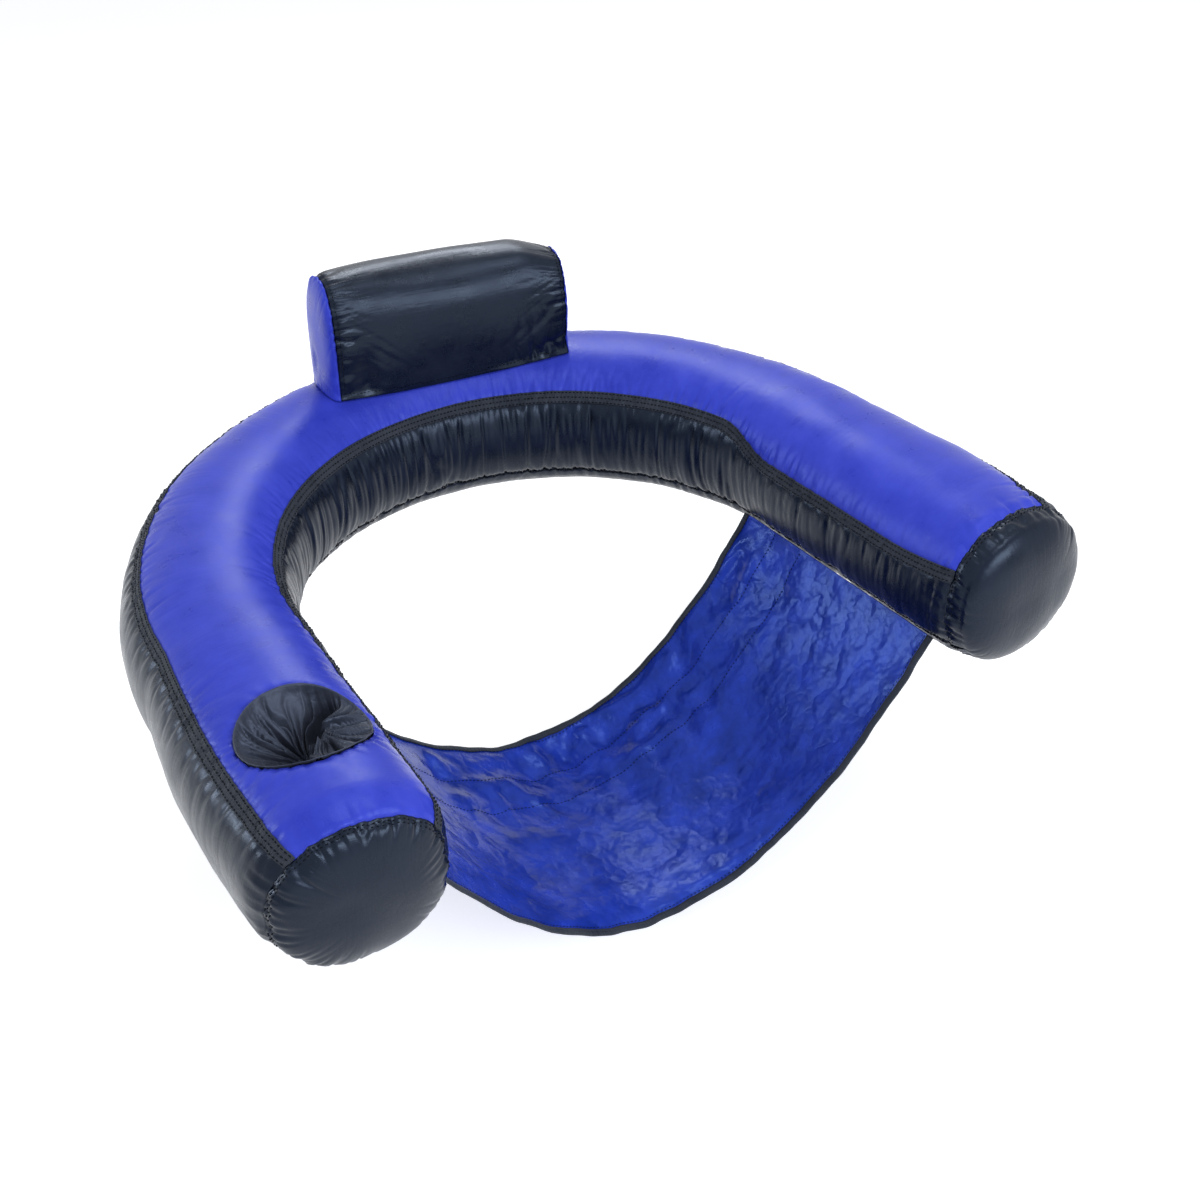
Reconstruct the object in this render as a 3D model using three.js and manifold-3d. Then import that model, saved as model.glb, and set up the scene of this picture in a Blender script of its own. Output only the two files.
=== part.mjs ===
import * as THREE from 'three';
import { mergeVertices } from 'three/addons/utils/BufferGeometryUtils.js';
import Module from 'manifold-3d';

// Inflatable pool chair: a U-shaped air tube and a head cushion, each a bladder in a sewn nylon cover,
// with a fabric sling hung between the arms as the seat. Lengths are in millimetres, +Z is up.
// The arms point towards -Y and the cup holder is in the arm on the -X side.

const wasm = await Module();
wasm.setup();

const RIGHT_ANGLE = Math.PI / 2;
const degrees = THREE.MathUtils.degToRad;

// Fabric layers and the clearance between any two of them.
const CLEARANCE = 0.3;
const CLOTH = 0.8;
const COVER_INNER = CLEARANCE;
const COVER_OUTER = COVER_INNER + CLOTH;
const TRIM_INNER = COVER_OUTER + CLEARANCE;
const TRIM_OUTER = TRIM_INNER + CLOTH;
const CUT_OVERRUN = 30;

// Air tube, seen from above: a round back and two arms that spread a little.
const BACK_DEPTH = 352;
const BACK_HALF_WIDTH = 347;
const ARM_LENGTH = 291;
const ARM_SPREAD = 13;
const TUBE_HALF_WIDTH = 85.3;
const TUBE_HALF_HEIGHT = 83.6;
const TUBE_POWER = 2.22;
const ARM_BULGE = 10;
const END_TUCK = 7;
const CAP_BULGE = 23;
const CAP_POWER = 2.5;
const BACK_STEPS = 20;
const ARM_STATION_SHARES = [0.2, 0.4, 0.6, 0.78, 0.92, 1];
const CAP_STEPS = 4;

// Seams along the tube, as turns from the top of its section, outwards positive.
const INNER_SEAM = degrees(-57);
const OUTER_SEAM = degrees(44);
const LOWER_SEAM = degrees(125);
const INNER_SEAM_DRIFT = degrees(9);
const TOP_CELLS = 8;
const SIDE_CELLS = 5;
const BOTTOM_CELLS = 7;
const SEAM_TAPE_WIDTH = 14;

// Cup holder in the arm.
const CUP_FROM_ARM_END = 112;
const CUP_SHIFT_INWARDS = 8;
const CUP_MOUTH_RADIUS = 60;
const CUP_THROAT_RADIUS = 38;
const CUP_RIM_DEPTH = 32;
const CUP_FLARE_DEPTH = 28;
const CUP_DEPTH = 104;
const CUP_BOTTOM_RADIUS = 35;
const CUP_FLARE_STEPS = 4;
const CUP_SIDES = 24;

// Head cushion on the back, turned about the back's centre.
const HEADREST_TURN = degrees(10);
const HEADREST_HALF_WIDTH = 132;
const HEADREST_BEND = 15;
const HEADREST_DEPTH = 88;
const HEADREST_SHIFT_INWARDS = 3;
const HEADREST_TOP = 298;
const HEADREST_FOOT = 108;
const HEADREST_POWER = 3.6;
const HEADREST_DRAW_IN = 7;
const HEADREST_END_BULGE = 12;
const HEADREST_SIDES = 26;
const HEADREST_CELLS = 8;
const HEADREST_CAP_STEPS = 3;

// Seat sling, its edge bindings and the strap under its rear part.
const SLING_CLOTH = 1;
const SLING_REAR_Y = 38;
const SLING_FRONT_FROM_ARM_END = 36;
const SLING_FRONT_Y = SLING_FRONT_FROM_ARM_END - ARM_LENGTH;
const SLING_REAR_LOW = -160;
const SLING_FRONT_LOW = -178;
const SLING_FRONT_SHIFT = -26;
const SLING_BELLY = 12;
const SLING_POWER = 2.1;
const SLING_FOLD = 3;
const SLING_FOLD_COUNT = 5;
const SLING_CELLS_ACROSS = 32;
const SLING_SEAT_CELLS = 5;
const STRAP_CELLS = 2;
const BINDING_WIDTH = 12;
const STRAP_WIDTH = 50;
const STRAP_FROM_REAR = 48;
const STRAP_THICKNESS = 1.2;

// Air valves: a flange on the bladder, a soft skirt, and a stem with its flap, plug and tether.
const VALVE_SIDES = 16;
const PORT_SIDES = 24;
const FLANGE_RADIUS = 15;
const FLANGE_THICKNESS = 1;
const FLANGE_SEAT_DEPTH = 2;
const STEM_RADIUS = 5.9;
const STEM_WALL = 1.8;
const STEM_LENGTH = 15;
const COLLAR_RADIUS = 7.4;
const COLLAR_THICKNESS = 1.6;
const SKIRT_THICKNESS = 0.8;
const SKIRT_CLEAR_RADIUS = 9.4;
const FLAP_THICKNESS = 0.8;
const VALVE_POCKET_DEPTH = 30;
const PLUG_HEAD_RADIUS = 8;
const PLUG_HEAD_THICKNESS = 2.2;
const PLUG_SHANK_LENGTH = 9;
const PLUG_SHANK_CLEARANCE = 0.3;
const TETHER_WIDTH = 3.5;
const TETHER_THICKNESS = 0.8;
const TETHER_REACH = 4.5;
const TETHER_STEPS = 8;
const PORT_RADIUS = 19;
const PORT_FACING_WIDTH = 6;
const MAIN_VALVE_OFFSET_CELLS = -3;

const BLUE = { color: 0x3a42c8, roughness: 0.5, metalness: 0 };
const BLACK = { color: 0x17181d, roughness: 0.55, metalness: 0 };
const FILM = { color: 0xb9c4cc, roughness: 0.35, metalness: 0 };
const CLEAR_VINYL = { color: 0xdfe6ea, roughness: 0.25, metalness: 0 };

// Rows of points become a closed mesh, turned so that its faces point outwards.
class SurfaceBuilder {
  constructor() {
    this.points = [];
    this.faces = [];
  }

  row(points) {
    const first = this.points.length;
    this.points.push(...points);
    return points.map((point, index) => first + index);
  }

  bridge(rowA, rowB, closed, reversed = false) {
    const cells = closed ? rowA.length : rowA.length - 1;
    for (let cell = 0; cell < cells; cell += 1) {
      const next = (cell + 1) % rowA.length;
      const near = [rowA[cell], rowB[cell], rowB[next]];
      const far = [rowA[cell], rowB[next], rowA[next]];
      this.faces.push(reversed ? near.reverse() : near, reversed ? far.reverse() : far);
    }
  }

  skin(rows, closed, reversed) {
    for (let index = 0; index + 1 < rows.length; index += 1) {
      this.bridge(rows[index], rows[index + 1], closed, reversed);
    }
  }

  fan(row, pole, reversed) {
    const [tip] = this.row([pole]);
    for (let cell = 0; cell < row.length; cell += 1) {
      const next = (cell + 1) % row.length;
      this.faces.push(reversed ? [row[next], row[cell], tip] : [row[cell], row[next], tip]);
    }
  }

  volume() {
    return this.faces.reduce((sum, [a, b, c]) => {
      const cross = this.points[b].clone().cross(this.points[c]);
      return sum + this.points[a].dot(cross) / 6;
    }, 0);
  }

  geometry() {
    const inward = this.volume() < 0;
    const order = this.faces.flatMap(([a, b, c]) => (inward ? [a, c, b] : [a, b, c]));
    const geometry = new THREE.BufferGeometry();
    geometry.setFromPoints(this.points);
    geometry.setIndex(order);
    geometry.computeVertexNormals();
    return geometry;
  }
}

// Closed rings from one pole to the other, such as a dome-ended tube or a dome with a wall.
function poleSolid(startPole, rings, endPole) {
  const builder = new SurfaceBuilder();
  const rows = rings.map((ring) => builder.row(ring));
  builder.skin(rows, true, false);
  builder.fan(rows[0], startPole, false);
  builder.fan(rows[rows.length - 1], endPole, true);
  return builder.geometry();
}

// An open-ended sleeve between matching outer and inner rings.
function sleeveSolid(outerRings, innerRings) {
  const builder = new SurfaceBuilder();
  const outer = outerRings.map((ring) => builder.row(ring));
  const inner = innerRings.map((ring) => builder.row(ring));
  builder.skin(outer, true, false);
  builder.skin(inner, true, true);
  builder.bridge(inner[0], outer[0], true);
  builder.bridge(outer[outer.length - 1], inner[inner.length - 1], true);
  return builder.geometry();
}

function boundary(rows) {
  const between = rows.slice(1, -1);
  return [
    ...rows[0],
    ...between.map((row) => row[row.length - 1]),
    ...rows[rows.length - 1].slice().reverse(),
    ...between.map((row) => row[0]).reverse(),
  ];
}

// A strip of sheet between two faces, given as matching rows of points.
function sheetSolid(upperRows, lowerRows) {
  const builder = new SurfaceBuilder();
  const upper = upperRows.map((row) => builder.row(row));
  const lower = lowerRows.map((row) => builder.row(row));
  builder.skin(upper, false, false);
  builder.skin(lower, false, true);
  builder.bridge(boundary(lower), boundary(upper), true);
  return builder.geometry();
}

const TRIANGLE_CORNERS = 3;

function toSolid(geometry) {
  const bare = geometry.clone();
  bare.deleteAttribute('normal');
  bare.deleteAttribute('uv');
  const merged = mergeVertices(bare);
  const corners = merged.index.array;
  const kept = [];
  for (let corner = 0; corner < corners.length; corner += TRIANGLE_CORNERS) {
    const [a, b, c] = corners.slice(corner, corner + TRIANGLE_CORNERS);
    if (a !== b && b !== c && c !== a) {
      kept.push(a, b, c);
    }
  }
  return new wasm.Manifold(new wasm.Mesh({
    numProp: 3,
    vertProperties: new Float32Array(merged.attributes.position.array),
    triVerts: new Uint32Array(kept),
  }));
}

function toGeometry(solid) {
  const { vertProperties, triVerts } = solid.getMesh();
  const geometry = new THREE.BufferGeometry();
  geometry.setAttribute('position', new THREE.BufferAttribute(vertProperties, 3));
  geometry.setIndex(new THREE.BufferAttribute(triVerts, 1));
  geometry.computeVertexNormals();
  return geometry;
}

function piece(name, geometry, finish) {
  const mesh = new THREE.Mesh(geometry, new THREE.MeshStandardMaterial(finish));
  mesh.name = name;
  return mesh;
}

function superellipse(turn, power) {
  const bend = (value) => Math.sign(value) * Math.abs(value) ** (2 / power);
  return { across: bend(Math.sin(turn)), up: bend(Math.cos(turn)) };
}

function evenSteps(from, to, count) {
  return Array.from({ length: count + 1 }, (_, index) => from + ((to - from) * index) / count);
}

// Stations along the tube from the cup arm's end, round the back, to the other arm's end.
function armPoint(side, share) {
  return new THREE.Vector2(side * (BACK_HALF_WIDTH + ARM_SPREAD * share), -ARM_LENGTH * share);
}

function ringStations() {
  const back = evenSteps(-RIGHT_ANGLE, RIGHT_ANGLE, BACK_STEPS).map((turn) => ({
    centre: new THREE.Vector2(BACK_HALF_WIDTH * Math.sin(turn), BACK_DEPTH * Math.cos(turn)),
    armShare: 0,
  }));
  const arm = (side) => ARM_STATION_SHARES.map((share) => ({ centre: armPoint(side, share), armShare: share }));
  const stations = [...arm(-1).reverse(), ...back, ...arm(1)];
  stations.forEach((station, index) => {
    const before = stations[Math.max(index - 1, 0)].centre;
    const after = stations[Math.min(index + 1, stations.length - 1)].centre;
    station.forward = after.clone().sub(before).normalize();
    station.outward = new THREE.Vector2(-station.forward.y, station.forward.x);
  });
  return stations;
}

const STATIONS = ringStations();
const FIRST_STATION = STATIONS[0];
const LAST_STATION = STATIONS[STATIONS.length - 1];

// Turns of each panel's cells at a station. The inner seam drifts down along the arms.
function innerSeamAt(station) {
  return INNER_SEAM - INNER_SEAM_DRIFT * Math.sin(RIGHT_ANGLE * station.armShare);
}

const FULL_TURN = 4 * RIGHT_ANGLE;
const BOTTOM_TURNS = evenSteps(LOWER_SEAM, FULL_TURN - LOWER_SEAM, BOTTOM_CELLS);
const OUTER_TURNS = evenSteps(OUTER_SEAM, LOWER_SEAM, SIDE_CELLS);
const topTurns = (station) => evenSteps(innerSeamAt(station), OUTER_SEAM, TOP_CELLS);
const outerTurns = () => OUTER_TURNS;
const bottomTurns = () => BOTTOM_TURNS;
const innerTurns = (station) => evenSteps(FULL_TURN - LOWER_SEAM, FULL_TURN + innerSeamAt(station), SIDE_CELLS);

function tubeTurns(station) {
  const panels = [topTurns, outerTurns, bottomTurns, innerTurns];
  return panels.flatMap((turnsAt) => turnsAt(station).slice(0, -1));
}

// The flat cell in the middle of the underside lies at zero height.
const FLAT_TURN = BOTTOM_TURNS[(BOTTOM_CELLS - 1) / 2];
const TUBE_CENTRE_Z = -superellipse(FLAT_TURN, TUBE_POWER).up * (TUBE_HALF_HEIGHT + COVER_OUTER);

function tubePoint(station, turn, offset, scale = 1, advance = 0) {
  const unit = superellipse(turn, TUBE_POWER);
  const tuck = station.armShare === 1 ? END_TUCK : 0;
  const bulge = unit.across > 0 ? ARM_BULGE * Math.sin(2 * RIGHT_ANGLE * station.armShare) : 0;
  const across = unit.across * (TUBE_HALF_WIDTH + bulge - tuck + offset) * scale;
  const up = unit.up * (TUBE_HALF_HEIGHT - tuck + offset) * scale;
  const flat = station.centre.clone()
    .addScaledVector(station.outward, across)
    .addScaledVector(station.forward, advance);
  return new THREE.Vector3(flat.x, flat.y, TUBE_CENTRE_Z + up);
}

function tubeRing(station, offset, scale, advance) {
  return tubeTurns(station).map((turn) => tubePoint(station, turn, offset, scale, advance));
}

// The dome on an arm's end: rings from the seam to just short of the pole, and the pole.
function capDome(station, direction, offset, seamGap) {
  const steps = evenSteps(0, RIGHT_ANGLE, CAP_STEPS).slice(0, -1);
  const reach = CAP_BULGE + offset;
  const rings = steps.map((turn) => {
    const unit = superellipse(turn, CAP_POWER);
    return tubeRing(station, offset, unit.up, direction * (seamGap + unit.across * (reach - seamGap)));
  });
  return { rings, pole: tubePoint(station, 0, offset, 0, direction * reach) };
}

// The tube with its domed ends, swollen by an offset from the bladder's face.
function tubeBody(offset) {
  const first = capDome(FIRST_STATION, -1, offset, 0);
  const last = capDome(LAST_STATION, 1, offset, 0);
  const between = STATIONS.slice(1, -1).map((station) => tubeRing(station, offset));
  const rings = [...first.rings.slice().reverse(), ...between, ...last.rings];
  return poleSolid(first.pole, rings, last.pole);
}

const TUBE_SEAT = toSolid(tubeBody(TRIM_INNER));
const TUBE_COVERED = toSolid(tubeBody(COVER_OUTER));
const TUBE_TRIMMED = toSolid(tubeBody(TRIM_OUTER));

// A strip of cover cloth along the whole tube, short of its seams by half a clearance.
function tubeStrip(turnsAt, inner, outer) {
  const inset = CLEARANCE / 2 / TUBE_HALF_WIDTH;
  const endGap = CLEARANCE / 2;
  const rowsAt = (offset) => STATIONS.map((station) => {
    const atEnd = (station === FIRST_STATION ? 1 : 0) - (station === LAST_STATION ? 1 : 0);
    const turns = turnsAt(station).slice();
    turns[0] += inset;
    turns[turns.length - 1] -= inset;
    return turns.map((turn) => tubePoint(station, turn, offset, 1, atEnd * endGap));
  });
  return sheetSolid(rowsAt(outer), rowsAt(inner));
}

function seamTape(name, seamAt) {
  const half = SEAM_TAPE_WIDTH / 2 / TUBE_HALF_WIDTH;
  const turnsAt = (station) => evenSteps(seamAt(station) - half, seamAt(station) + half, 2);
  return piece(name, tubeStrip(turnsAt, TRIM_INNER, TRIM_OUTER), BLACK);
}

function endCap(name, station, direction) {
  const inner = capDome(station, direction, COVER_INNER, CLEARANCE / 2);
  const outer = capDome(station, direction, COVER_OUTER, CLEARANCE / 2);
  const rings = [...inner.rings.slice().reverse(), ...outer.rings];
  return piece(name, poleSolid(inner.pole, rings, outer.pole), BLACK);
}

// Cup holder: a funnel-mouthed pocket, sunk upright into the cup arm.
function cupPlace() {
  const centre = armPoint(-1, 1 - CUP_FROM_ARM_END / ARM_LENGTH);
  return new THREE.Vector3(centre.x + CUP_SHIFT_INWARDS, centre.y, 0);
}

function cupSurface(swell) {
  const rimHeight = TUBE_CENTRE_Z + TUBE_HALF_HEIGHT + COVER_OUTER;
  const flare = evenSteps(0, RIGHT_ANGLE, CUP_FLARE_STEPS).map((turn) => new THREE.Vector2(
    CUP_MOUTH_RADIUS - (CUP_MOUTH_RADIUS - CUP_THROAT_RADIUS) * Math.sin(turn) + swell,
    rimHeight - CUP_RIM_DEPTH - CUP_FLARE_DEPTH * (1 - Math.cos(turn)),
  ));
  const bottom = new THREE.Vector2(CUP_BOTTOM_RADIUS + swell, rimHeight - CUP_DEPTH - swell);
  const rise = new THREE.Vector2(CUP_MOUTH_RADIUS + swell, rimHeight + CUT_OVERRUN);
  return [bottom, ...flare.reverse(), rise];
}

function turned(profile, sides) {
  const lathe = new THREE.LatheGeometry(profile, sides);
  lathe.rotateX(RIGHT_ANGLE);
  return lathe;
}

function placedAtCup(geometry) {
  const place = cupPlace();
  return geometry.translate(place.x, place.y, place.z);
}

function cupWell() {
  const wall = cupSurface(CLEARANCE);
  const profile = [new THREE.Vector2(0, wall[0].y), ...wall, new THREE.Vector2(0, wall[wall.length - 1].y)];
  return toSolid(placedAtCup(turned(profile, CUP_SIDES)));
}

function cupPocket() {
  const outside = cupSurface(0);
  const inside = cupSurface(-CLOTH);
  const profile = [
    new THREE.Vector2(0, outside[0].y),
    ...outside,
    ...inside.slice().reverse(),
    new THREE.Vector2(0, inside[0].y),
  ];
  const funnel = toSolid(placedAtCup(turned(profile, CUP_SIDES)));
  return piece('cup_pocket', toGeometry(funnel.intersect(TUBE_COVERED)), BLACK);
}

// Head cushion: a rounded section swept across the chair, fuller in the middle than at its seams.
const HEADREST_PLACE = new THREE.Matrix4()
  .makeRotationZ(-HEADREST_TURN)
  .setPosition(BACK_HALF_WIDTH * Math.sin(HEADREST_TURN), BACK_DEPTH * Math.cos(HEADREST_TURN), 0);
const HEADREST_TURNS = evenSteps(0, FULL_TURN, HEADREST_SIDES).slice(0, -1);

function headrestPoint(turn, offset, across, scale, advance = 0) {
  const unit = superellipse(turn, HEADREST_POWER);
  const share = across / HEADREST_HALF_WIDTH;
  const slack = HEADREST_DRAW_IN * share ** 4;
  const halfDepth = HEADREST_DEPTH / 2 - slack / 2 + offset;
  const halfHeight = (HEADREST_TOP - HEADREST_FOOT) / 2 - slack + offset;
  const heading = Math.atan((-2 * HEADREST_BEND * share) / HEADREST_HALF_WIDTH);
  const depth = unit.across * halfDepth * scale - HEADREST_SHIFT_INWARDS;
  return new THREE.Vector3(
    across + advance * Math.cos(heading) - depth * Math.sin(heading),
    advance * Math.sin(heading) + depth * Math.cos(heading) - HEADREST_BEND * share ** 2,
    (HEADREST_TOP + HEADREST_FOOT) / 2 + unit.up * halfHeight * scale,
  ).applyMatrix4(HEADREST_PLACE);
}

function headrestRing(offset, across, scale = 1, advance = 0) {
  return HEADREST_TURNS.map((turn) => headrestPoint(turn, offset, across, scale, advance));
}

function headrestDome(direction, offset, seamGap) {
  const reach = HEADREST_END_BULGE + offset;
  const end = direction * HEADREST_HALF_WIDTH;
  const rings = evenSteps(0, RIGHT_ANGLE, HEADREST_CAP_STEPS).slice(0, -1).map((turn) => {
    const unit = superellipse(turn, CAP_POWER);
    return headrestRing(offset, end, unit.up, direction * (seamGap + unit.across * (reach - seamGap)));
  });
  return { rings, pole: headrestPoint(0, offset, end, 0, direction * reach) };
}

function headrestBody(offset) {
  const near = headrestDome(-1, offset, 0);
  const far = headrestDome(1, offset, 0);
  const between = evenSteps(-HEADREST_HALF_WIDTH, HEADREST_HALF_WIDTH, HEADREST_CELLS).slice(1, -1);
  const rings = [
    ...near.rings.slice().reverse(),
    ...between.map((across) => headrestRing(offset, across)),
    ...far.rings,
  ];
  return poleSolid(near.pole, rings, far.pole);
}

function headrestGusset(name, direction) {
  const inner = headrestDome(direction, COVER_INNER, CLEARANCE / 2);
  const outer = headrestDome(direction, COVER_OUTER, CLEARANCE / 2);
  const shell = poleSolid(inner.pole, [...inner.rings.slice().reverse(), ...outer.rings], outer.pole);
  return piece(name, toGeometry(toSolid(shell).subtract(TUBE_SEAT)), BLUE);
}

function headrestWrap(port) {
  const reach = HEADREST_HALF_WIDTH - CLEARANCE / 2;
  const places = evenSteps(-reach, reach, HEADREST_CELLS);
  const outer = places.map((across) => headrestRing(COVER_OUTER, across));
  const inner = places.map((across) => headrestRing(COVER_INNER, across));
  const shell = toSolid(sleeveSolid(outer, inner)).subtract(TUBE_SEAT).subtract(port);
  return piece('headrest_wrap', toGeometry(shell), BLACK);
}

// Seat sling: hangs in an arch between the arms, from the lower inner seams.
function seamPlaceAt(y) {
  const seam = FULL_TURN - LOWER_SEAM;
  const line = STATIONS.slice(Math.floor(STATIONS.length / 2)).map((station) => tubePoint(station, seam, 0));
  const next = line.findIndex((point) => point.y <= y);
  const before = line[next - 1];
  const after = line[next];
  return before.clone().lerp(after, (before.y - y) / (before.y - after.y));
}

function slingPoint(across, y) {
  const end = seamPlaceAt(y);
  const along = (SLING_REAR_Y - y) / (SLING_REAR_Y - SLING_FRONT_Y);
  const wave = Math.sin(2 * RIGHT_ANGLE * along);
  const x = across * end.x;
  const middle = SLING_FRONT_SHIFT * along;
  const share = Math.abs(x - middle) / (end.x - Math.sign(x - middle) * middle);
  const low = THREE.MathUtils.lerp(SLING_REAR_LOW, SLING_FRONT_LOW, along) - SLING_BELLY * wave;
  const fold = SLING_FOLD * Math.sin(SLING_FOLD_COUNT * 2 * RIGHT_ANGLE * (along + across * across));
  const slack = (1 - Math.abs(across)) * fold * wave;
  return new THREE.Vector3(x, y, low + (end.z - low) * share ** SLING_POWER + slack);
}

// Places from the rear edge to the front one, shared by the sling and what is sewn to it.
const STRAP_REAR_Y = SLING_REAR_Y - STRAP_FROM_REAR;
const STRAP_FRONT_Y = STRAP_REAR_Y - STRAP_WIDTH;
const STRAP_PLACES = evenSteps(STRAP_REAR_Y, STRAP_FRONT_Y, STRAP_CELLS);
const SLING_PLACES = [
  SLING_REAR_Y,
  SLING_REAR_Y - BINDING_WIDTH,
  ...STRAP_PLACES,
  ...evenSteps(STRAP_FRONT_Y, SLING_FRONT_Y + BINDING_WIDTH, SLING_SEAT_CELLS).slice(1),
  SLING_FRONT_Y,
];

// Rows of points at heights above and below the sling's middle face, one row for each place across.
function slingRows(places, height) {
  return evenSteps(-1, 1, SLING_CELLS_ACROSS).map((across) => places.map((y, index) => {
    const step = 1 / SLING_CELLS_ACROSS;
    const before = slingPoint(Math.max(across - step, -1), y);
    const after = slingPoint(Math.min(across + step, 1), y);
    const normal = new THREE.Vector3(before.z - after.z, 0, after.x - before.x).normalize();
    const lift = Array.isArray(height) ? height[index] : height;
    return slingPoint(across, y).addScaledVector(normal, lift);
  }));
}

function seatSling() {
  const upper = slingRows(SLING_PLACES, SLING_CLOTH / 2);
  const lower = slingRows(SLING_PLACES, -SLING_CLOTH / 2);
  return piece('seat_sling', toGeometry(toSolid(sheetSolid(upper, lower)).subtract(TUBE_SEAT)), BLUE);
}

// A tape folded over one edge of the sling.
function slingBinding(name, edge, inwards) {
  const slot = SLING_CLOTH / 2 + CLEARANCE;
  const skin = slot + CLOTH;
  const lip = edge + inwards * BINDING_WIDTH;
  const slotEnd = edge - inwards * CLEARANCE;
  const back = slotEnd - inwards * CLOTH;
  const outside = slingRows([lip, back, back, lip], [skin, skin, -skin, -skin]);
  const inside = slingRows([lip, slotEnd, slotEnd, lip], [slot, slot, -slot, -slot]);
  return piece(name, toGeometry(toSolid(sheetSolid(outside, inside)).subtract(TUBE_SEAT)), BLACK);
}

function slingStrap() {
  const top = -SLING_CLOTH / 2 - CLEARANCE;
  const sheet = sheetSolid(slingRows(STRAP_PLACES, top), slingRows(STRAP_PLACES, top - STRAP_THICKNESS));
  return piece('sling_strap', toGeometry(toSolid(sheet).subtract(TUBE_SEAT)), BLUE);
}

// Valves are built on a frame whose +Y axis points out of the bladder.
function frameOn(corners) {
  const centre = corners.reduce((sum, corner) => sum.add(corner), new THREE.Vector3()).divideScalar(corners.length);
  const side = corners[2].clone().sub(corners[0]);
  const other = corners[3].clone().sub(corners[1]);
  const out = other.cross(side).normalize();
  const up = new THREE.Vector3(0, 0, 1).addScaledVector(out, -out.z).normalize();
  const across = out.clone().cross(up);
  return new THREE.Matrix4().makeBasis(across, out, up).setPosition(centre);
}

function mainValveFrame() {
  const middle = (STATIONS.length - 1) / 2 + MAIN_VALVE_OFFSET_CELLS;
  const below = OUTER_TURNS.findIndex((turn) => turn >= RIGHT_ANGLE);
  const high = OUTER_TURNS[below - 1];
  const low = OUTER_TURNS[below];
  const near = STATIONS[middle];
  const far = STATIONS[middle + 1];
  return frameOn([
    tubePoint(near, low, 0),
    tubePoint(far, low, 0),
    tubePoint(far, high, 0),
    tubePoint(near, high, 0),
  ]);
}

function headrestValveFrame() {
  const high = HEADREST_TURNS[Math.floor(HEADREST_SIDES / 4)];
  const low = HEADREST_TURNS[Math.floor(HEADREST_SIDES / 4) + 1];
  const half = HEADREST_HALF_WIDTH / HEADREST_CELLS;
  return frameOn([
    headrestPoint(low, 0, -half, 1),
    headrestPoint(low, 0, half, 1),
    headrestPoint(high, 0, half, 1),
    headrestPoint(high, 0, -half, 1),
  ]);
}

function disc(radius, from, to, sides = VALVE_SIDES) {
  return new THREE.CylinderGeometry(radius, radius, to - from, sides).translate(0, (from + to) / 2, 0);
}

// Heights along the valve's axis, from the bladder's face.
const FLANGE_LOW = CLEARANCE - FLANGE_SEAT_DEPTH;
const FLANGE_HIGH = FLANGE_LOW + FLANGE_THICKNESS;
const COLLAR_HIGH = FLANGE_HIGH;
const COLLAR_LOW = COLLAR_HIGH - COLLAR_THICKNESS;
const STEM_LOW = COLLAR_HIGH - STEM_LENGTH;
const PLUG_LOW = COLLAR_HIGH + CLEARANCE;

function valveCuts(frame) {
  const seat = toSolid(disc(FLANGE_RADIUS + CLEARANCE, -FLANGE_SEAT_DEPTH, CUT_OVERRUN).applyMatrix4(frame));
  const pocket = toSolid(disc(SKIRT_CLEAR_RADIUS, -VALVE_POCKET_DEPTH, 0).applyMatrix4(frame));
  return seat.add(pocket);
}

function portCut(frame) {
  return toSolid(disc(PORT_RADIUS, -CUT_OVERRUN, CUT_OVERRUN, PORT_SIDES).applyMatrix4(frame));
}

function portFacing(name, frame, layerInner, layerOuter) {
  const outer = disc(PORT_RADIUS + PORT_FACING_WIDTH, -CUT_OVERRUN, CUT_OVERRUN, PORT_SIDES);
  const band = toSolid(outer.applyMatrix4(frame)).subtract(portCut(frame));
  return piece(name, toGeometry(layerOuter.subtract(layerInner).intersect(band)), BLACK);
}

function ringProfile(pairs) {
  const points = pairs.map(([radius, height]) => new THREE.Vector2(radius, height));
  return [...points, points[0].clone()];
}

function valveStem() {
  const bore = STEM_RADIUS - STEM_WALL;
  return new THREE.LatheGeometry(ringProfile([
    [bore, STEM_LOW],
    [STEM_RADIUS, STEM_LOW],
    [STEM_RADIUS, COLLAR_LOW],
    [COLLAR_RADIUS, COLLAR_LOW],
    [COLLAR_RADIUS, COLLAR_HIGH],
    [bore, COLLAR_HIGH],
  ]), VALVE_SIDES);
}

// The skirt runs from the flange's bore down to the foot of the pushed-in stem.
function valveSkirt() {
  const foot = STEM_RADIUS + CLEARANCE;
  const head = SKIRT_CLEAR_RADIUS - CLEARANCE - SKIRT_THICKNESS;
  return new THREE.LatheGeometry(ringProfile([
    [foot, STEM_LOW],
    [foot + SKIRT_THICKNESS, STEM_LOW],
    [head + SKIRT_THICKNESS, FLANGE_LOW - CLEARANCE],
    [head, FLANGE_LOW - CLEARANCE],
  ]), VALVE_SIDES);
}

function valveFlange() {
  const bore = COLLAR_RADIUS + CLEARANCE;
  return new THREE.LatheGeometry(ringProfile([
    [bore, FLANGE_LOW],
    [FLANGE_RADIUS, FLANGE_LOW],
    [FLANGE_RADIUS, FLANGE_HIGH],
    [bore, FLANGE_HIGH],
  ]), VALVE_SIDES);
}

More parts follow.
